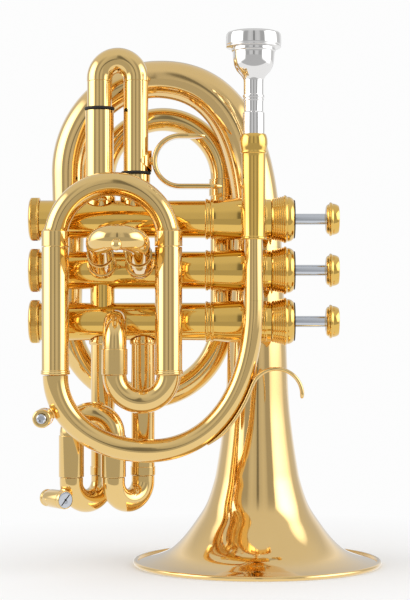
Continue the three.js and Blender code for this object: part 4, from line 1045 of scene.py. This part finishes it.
leadX = -3.3
mouthRows = [  # round the outside from the tip, over the rim and down into the cup
    (3.9, 195.5), (4.8, 195.5), (5.35, 219.3), (5.45, 222), (5.4, 229.6), (4.75, 230.3), (4.75, 235.6),
    (5.05, 235.8), (5.1, 236.5), (4.8, 236.8), (4.8, 237), (5.2, 237.2), (5.3, 237.8), (5.2, 238.5),
    (4.85, 238.8), (4.85, 244.6), (4.95, 246.1), (5.6, 247.5), (6.9, 249), (8.2, 250.4), (9.2, 252.2),
    (9.7, 253.6), (10.05, 256), (10.25, 258.5), (10.3, 260), (10.85, 260.15), (10.95, 261), (10.85, 261.7),
    (12.2, 261.8), (13.45, 262), (13.6, 262.4), (13.45, 262.8), (13.35, 263), (13.55, 263.4), (13.6, 264.4),
    (13.55, 267.4), (13.3, 268.6), (12.7, 269.3), (11.6, 269.65), (10.9, 269.7), (9.9, 269.4), (9.2, 268.7),
    (8.8, 267.6), (8.4, 266), (7.8, 264), (6.9, 262), (5.6, 260.4), (4, 259.2), (2.6, 258.4), (1.9, 257.2),
    (1.9, 254),
]
receiverRows = [
    (4.55, 167.2), (5.9, 167.2), (6.25, 167.5), (6.25, 168.4), (5.9, 168.7), (5.75, 169.4), (5.8, 180),
    (5.95, 207), (6, 209.6), (6.55, 209.9), (6.6, 210.6), (6.35, 210.9), (6.7, 212.4), (6.95, 214.6),
    (6.85, 216.8), (6.4, 218.6), (5.95, 219.3), (5.6, 219.3), (5.15, 195.5), (4.55, 195.2),
]
mouthpiece = turned(mouthRows, (leadX, leadPlane, 0), up, "silver", sides=128, soft=0.15)
addPiece("mouthpieceBody", "mouthpiece", mouthpiece, body="mouthpiece_body", slot="silver")
receiver = turned(receiverRows, (leadX, leadPlane, 0), up, "valve", sides=80, soft=0.2)
addPiece("receiverTube", "receiver", receiver)

leadSizes = {
    "top": 192, "taperFrom": 167.2, "foot": 137, "pipe": 4.5, "wall": 0.65, "footPipe": 4.95,
    "bottomX": -55.6, "bottom": 62.8, "bottomPipe": 5.75, "leftX": -101.2, "leftTop": 100.1,
    "leftPipe": 6.3, "rightShare": 0.62, "leftShare": 0.57,
}


# a quarter bow between an upright end and a level end
def quarterBow(start, end, share):
    rising = start.z <= end.z
    upright, level = (end, start) if rising else (start, end)
    highHandle = Vector((upright.x, upright.y, upright.z + (level.z - upright.z) * share))
    lowHandle = Vector((level.x + (upright.x - level.x) * share, level.y, level.z))
    return cubic(start, lowHandle, highHandle, end) if rising else cubic(start, highHandle, lowHandle, end)


leadFoot = Vector((leadX, leadPlane, leadSizes["foot"]))
leadBase = Vector((leadSizes["bottomX"], leadPlane, leadSizes["bottom"]))
leadTop = Vector((leadSizes["leftX"], leadPlane, leadSizes["leftTop"]))
rightBow = quarterBow(leadFoot, leadBase, leadSizes["rightShare"])
leftBow = quarterBow(leadBase, leadTop, leadSizes["leftShare"])


# the pipe's radius at a share of its right or left bow
def pipeAt(share, start, end):
    return leadSizes[start] + (leadSizes[end] - leadSizes[start]) * share


def makeLeadpipe(sizes):
    path = startPath((leadX, leadPlane, sizes["top"]), down, sizes["pipe"], sizes["wall"])
    aheadTo(path, sizes["taperFrom"])
    ahead(path, sizes["taperFrom"] - sizes["foot"], sizes["footPipe"], steps=10)
    addPiece("leadpipeTube", "leadpipe", tube(path, sides=64, rim=sliver))
    path = startPath(leadFoot, down, sizes["footPipe"])
    along(path, rightBow, sizes["bottomPipe"])
    along(path, leftBow, sizes["leftPipe"])
    addPiece("leadpipeBow", "leadpipe_bow", tube(path, sides=64, rim=sliver))


makeLeadpipe(leadSizes)
print("mouthpiece and leadpipe made")

# tuning slide

tuningSizes = {
    "leftX": -101.2, "rightX": -45.3, "foot": 100.4, "top": 163.5, "bore": 5.85, "sleeve": 6.75,
    "ring": 7.3, "ringLength": 2.2, "leg": 5.5, "crook": 5.9, "legFoot": 118, "rise": 3, "ferrule": 6.85,
    "ferruleLength": 7.6,
}


def makeTuningSlide(
    leftX, rightX, foot, top, bore, sleeve, ring, ringLength, leg, crook, legFoot, rise, ferrule,
    ferruleLength,
):
    length = top - foot
    outline = [
        (bore, 0), (ring - 0.5, 0), (ring, 0.4), (ring, 1), (ring - 0.25, 1.3), (ring - 0.05, 1.7),
        (ring - 0.2, ringLength), (sleeve, ringLength + 0.2), (sleeve, length), (bore, length),
    ]
    for side, x in (("left", leftX), ("right", rightX)):
        pipe = turned(outline, (x, leadPlane, foot), up, sides=72, soft=0.18)
        addPiece(f"tuningSleeve{side.title()}", f"tuning_sleeve_{side}", pipe)
    seamLine = top + 0.3
    path = startPath((leftX, leadPlane, legFoot), up, leg)
    aheadTo(path, seamLine)
    shoulder(path, ferrule, edge=0.2)
    ahead(path, ferruleLength - 0.6)
    shoulder(path, crook, edge=0.25)
    radius = (rightX - leftX) / 2
    centre = Vector((leftX + radius, leadPlane, seamLine + rise))
    lift = path["at"].z - centre.z
    startTurn = math.degrees(math.asin(max(lift, 0) / radius))  # the ferrules hide the arc's ends
    steps = 56
    for i in range(1, steps):
        turn = math.radians(startTurn + (180 - 2 * startTurn) * i / steps)
        path["at"] = centre + Vector((-math.cos(turn), 0, math.sin(turn))) * radius
        addStation(path)
    path["at"] = Vector((rightX, leadPlane, centre.z + lift))
    path["heading"] = down.copy()
    addStation(path)
    shoulder(path, ferrule, edge=0.25)
    aheadTo(path, seamLine + 0.4)
    shoulder(path, leg, edge=0.2)
    aheadTo(path, legFoot)
    addPiece("tuningCrook", "tuning_crook", tube(path, sides=64), body="tuning_slide")


returnSizes = {"leftX": -72, "girth": 5.95, "ferrule": 6.45, "wall": 1.2, "ferruleLength": 13, "elbow": 12}


def makeReturn(leftX, girth, ferrule, wall, ferruleLength, elbow):
    startX, foot = tuningSizes["rightX"], tuningSizes["foot"] + 0.1
    path = startPath((startX, leadPlane, foot), down, girth)
    around(path, (startX - leftX) / 2, left, 180)
    addPiece("returnBow", "return_bow", tube(path))
    path = startPath((leftX, leadPlane, foot), up, ferrule, wall)
    ahead(path, ferruleLength - 0.6)
    shoulder(path, girth, edge=0.3)
    aheadTo(path, valveHeights[3] - elbow)
    around(path, elbow, back, 90)
    ahead(path, valvePlane - path["at"].y)
    addPiece("returnElbow", "return_elbow", *onCasing(3, tube(path)))


makeTuningSlide(**tuningSizes)
makeReturn(**returnSizes)
print("tuning slide made")

# water keys

keySizes = {
    "radius": 4.6, "length": 17, "button": 2.4, "bore": 2.5, "out": 2.3, "neck": 2.6, "gap": 0.5,
    "plug": 4.05, "drain": 3,
}


# a screw-in plug with a slot and a pit; the slot is a dark box on the face and the pit has a dark floor,
# both painted shade
def plugParts(centre, axis, foot, plug):
    disc = lifted([(0.65, 0.02), (plug - 0.15, 0.02), (plug, 0.15), (plug, 1), (0.65, 1)], foot)
    pit = lifted([(0, 0.5), (0.66, 0.5), (0.66, 1), (0, 1)], foot)
    tilt = (axis.cross(up) * 0.68 + up * 0.73).normalized()
    wide = axis.cross(tilt)
    verts = []
    for depth in (0, 0.4):
        for a, b in ((-1, -1), (1, -1), (1, 1), (-1, 1)):
            verts.append(centre + axis * (foot + depth) + tilt * a * (plug - 0.5) + wide * b * 0.3)
    box = [(0, 3, 2, 1), (4, 5, 6, 7), (0, 1, 5, 4), (1, 2, 6, 5), (2, 3, 7, 6), (3, 0, 4, 7)]
    return [
        turned(disc, centre, axis, "nickel", sides=64, soft=0.05),
        # dark fills: painted shade on the pit's floor and in the slot
        turned(pit, centre, axis, "rubber", sides=28, soft=0.02),
        {"verts": verts, "faces": box, "finish": "rubber"},
    ]


def makeWaterKey(
    place, body, tubePoint, outwards, axis, tubeRadius, plugged, radius, length, button, bore, out, neck,
    gap, plug, drain,
):
    centre = tubePoint + outwards * (radius + gap + tubeRadius)
    head, foot = length / 2, -length / 2
    if plugged:
        closed = [(0, 1.1), (plug + 0.12, 1.1), (plug + 0.12, 0.05), (radius - 0.2, 0.05)]
        flanks = [
            (radius, 2.6 - length), (radius, -5.6), (radius - 0.45, -2.6), (radius - 0.7, -2.4),
            (radius - 0.7, -2.1), (radius - 0.3, -1.9), (radius - 0.3, -0.6),
        ]
    else:
        closed = [(0, 0.6), (radius - 1.5, 0.6), (radius - 1.3, 0), (radius - 0.6, 0)]
        flanks = [(radius, -1.9), (radius, -0.7), (radius - 0.6, 0)]
    groove = [(radius, 0.6), (radius, 1.9), (radius - 0.25, 2.1), (radius - 0.25, 2.4)]
    mouth = [(radius - 0.9, 0), (bore + 0.3, 0), (bore, -0.3), (bore, -5.9), (0, -5.9)]
    outline = lifted(closed + groove, foot) + lifted(flanks + mouth, head)
    saddle = radius + gap
    neckRows = [
        (0, radius - 0.8), (neck, radius - 0.8), (neck + 0.5, radius + 0.1), (neck, radius + 0.3),
        (3.4, saddle + 0.5), (3.4, saddle + 2.2), (0, saddle + 2.2),
    ]
    lip = [(1, radius - 1.2), (2.1, radius - 1.2), (1.95, radius - 0.1), (1.5, radius), (1, radius - 0.25)]
    # the drain hole's floor is a dark disc: painted shade inside the hole
    hole = [(0, radius - 1.1), (1.02, radius - 1.1), (1.02, radius - 0.6), (0, radius - 0.6)]
    cutter = rod(tubePoint, axis.cross(outwards), tubeRadius - 0.1, -12, 12)
    parts = [
        turned(outline, centre, axis, soft=0.2),
        seated(turned(neckRows, centre, -outwards, sides=40), cutter),
        turned(lip, centre + axis * drain, outwards, sides=40, soft=0.15),
        turned(hole, centre + axis * drain, outwards, "rubber", sides=28, soft=0.05),
    ]
    if plugged:
        parts += plugParts(centre, axis, foot, plug)
    node = f"water_key_{place}"
    addPiece(f"waterKey{place.title()}Body", f"{node}_body", *parts, body=body)
    top = [(button, -0.45), (button - 0.3, -0.1), (button - 0.45, 0), (1.7, 0), (1.6, -0.3), (0, -0.3)]
    push = lifted([(0, -3.5), (button, -3.5)], head) + lifted(top, head + out)
    knob = turned(push, centre, axis, "nickel", sides=48, soft=0.1)
    addPiece(f"waterKey{place.title()}Button", f"{node}_button", knob, body=f"{node}_push", slot="nickel")


keyPlaces = {"bowShare": 0.735, "slideDip": 22}


def makeWaterKeys(bowShare, slideDip):
    point, way = leftBow(bowShare)
    pipe = pipeAt(bowShare, "bottomPipe", "leftPipe")
    makeWaterKey("bow", "horn", point, Vector((-way.z, 0, way.x)), front, pipe, False, **keySizes)
    backLeft = Vector((thirdSizes["leftX"], valvePlane, 0))
    span = Vector((thirdSizes["frontLeftX"], thirdSizes["frontPlane"], 0)) - backLeft
    line, dip = span.normalized(), math.radians(slideDip)
    out = line * math.cos(dip) + down * math.sin(dip)
    middle = backLeft + span / 2 + up * (thirdSizes["seamHeight"] - thirdSizes["drop"])
    point = middle + out * span.length / 2
    crook = thirdSizes["crook"]
    makeWaterKey("slide", "third_slide_left", point, out, line.cross(up), crook, True, **keySizes)


makeWaterKeys(**keyPlaces)
print("water keys made")

# finger hook

hookSizes = {
    "strip": 2, "width": 8, "sink": 0.3, "radius": 12.8, "leg": 0.8, "footFrom": 0.69, "footTo": 0.34,
    "arcTo": -8,
}


def makeHook(strip, width, sink, radius, leg, footFrom, footTo, arcTo):
    points = []
    for i in range(8):
        share = footFrom + (footTo - footFrom) * i / 7
        place, way = rightBow(share)
        stand = pipeAt(share, "footPipe", "bottomPipe") - sink + strip / 2 * (0.45 + 0.55 * min(i / 2, 1))
        points.append(Vector((place.x - way.z * stand, place.z + way.x * stand)))
    leaving = -rightBow(footTo)[1]
    arcFrom, arcTo = math.atan2(leaving.x, -leaving.z), math.radians(arcTo)
    centre = points[-1] + Vector((leaving.x, leaving.z)) * leg - polar(arcFrom, radius)
    points += [centre + polar(arcFrom + (arcTo - arcFrom) * i / 12, radius) for i in range(13)]
    line = smoothLine(points, steps=5)
    thick, wide = [], []
    for i in range(len(line)):
        start, end = min(i / 10, 1), math.sqrt(min((len(line) - 1 - i) / 3, 1))
        thick.append(strip * (0.45 + 0.55 * start) * (0.5 + 0.5 * end))
        wide.append(width * (0.55 + 0.45 * math.sqrt(start)) * (0.6 + 0.4 * end))
    addPiece("fingerHook", "finger_hook", bentStrip(line, thick, wide, leadPlane))


makeHook(**hookSizes)

# braces: posts with a flange at each seat, and a plain one at the bell

braceSizes = {"post": 2.4, "flange": 4.2, "length": 26}
braceSeats = {
    "leadStart": 5.2, "leadEnd": 15.3, "coilStart": 9.9, "gap": 0.3, "bellCut": 13.1, "leadCut": 4.75,
}
bellPost = [(0, 0), (4, 0), (4, 11.4), (3.3, 12), (3.3, 12.8), (4, 13.6), (4, 26), (0, 26)]


def bracePost(origin, start, end, post, flange, length):
    middle = (start + end) / 2
    outline = [
        (0, 0), (flange, 0), (flange, start + 0.9), (flange - 1, start + 1.3), (post, start + 1.9),
        (post * 0.8, middle - 0.9), (post * 1.15, middle - 0.5), (post * 1.15, middle + 0.5),
        (post * 0.8, middle + 0.9), (post, end - 1.9), (flange - 1, end - 1.3), (flange, end - 0.9),
        (flange, length), (0, length),
    ]
    return turned(outline, origin, back, "valve", sides=48, soft=0.2)


# an upright cutter round a tube
def pipeCutter(x, y, radius):
    return rod((x, y, 100), up, radius, 0, 100)


def makeBraces(leadStart, leadEnd, coilStart, gap, bellCut, leadCut):
    height, farX = valveHeights[2], bowSizes["farX"]
    cuts = pipeCutter(leadX, leadPlane, leadCut), casingCutter(2, radius=10.65, start=95, end=122)
    post = bracePost((leadX, leadPlane, height), leadStart, leadEnd, **braceSizes)
    addPiece("leadBrace", "lead_brace", seated(post, *cuts))
    post = turned(bellPost, (0, valvePlane, height), back, "valve", sides=48, soft=0.3)
    cuts = casingCutter(2, radius=10.4, start=100, end=122), pipeCutter(0, 0, bellCut)
    addPiece("bellBrace", "bell_brace", seated(post, *cuts))
    share = (bowSizes["endHeight"] - height) / (bowSizes["endHeight"] - bowSizes["jointHeight"])
    leg = bowSizes["endGirth"] + (bowSizes["jointGirth"] - bowSizes["endGirth"]) * share
    coilEnd = braceSizes["length"] - leg - gap
    post = bracePost((farX, valvePlane, height), coilStart, coilEnd, **braceSizes)
    addPiece("coilBrace", "coil_brace", seated(post, casingCutter(2), pipeCutter(farX, 0, leg - gap / 2)))


makeBraces(**braceSeats)
print("hook and braces made")
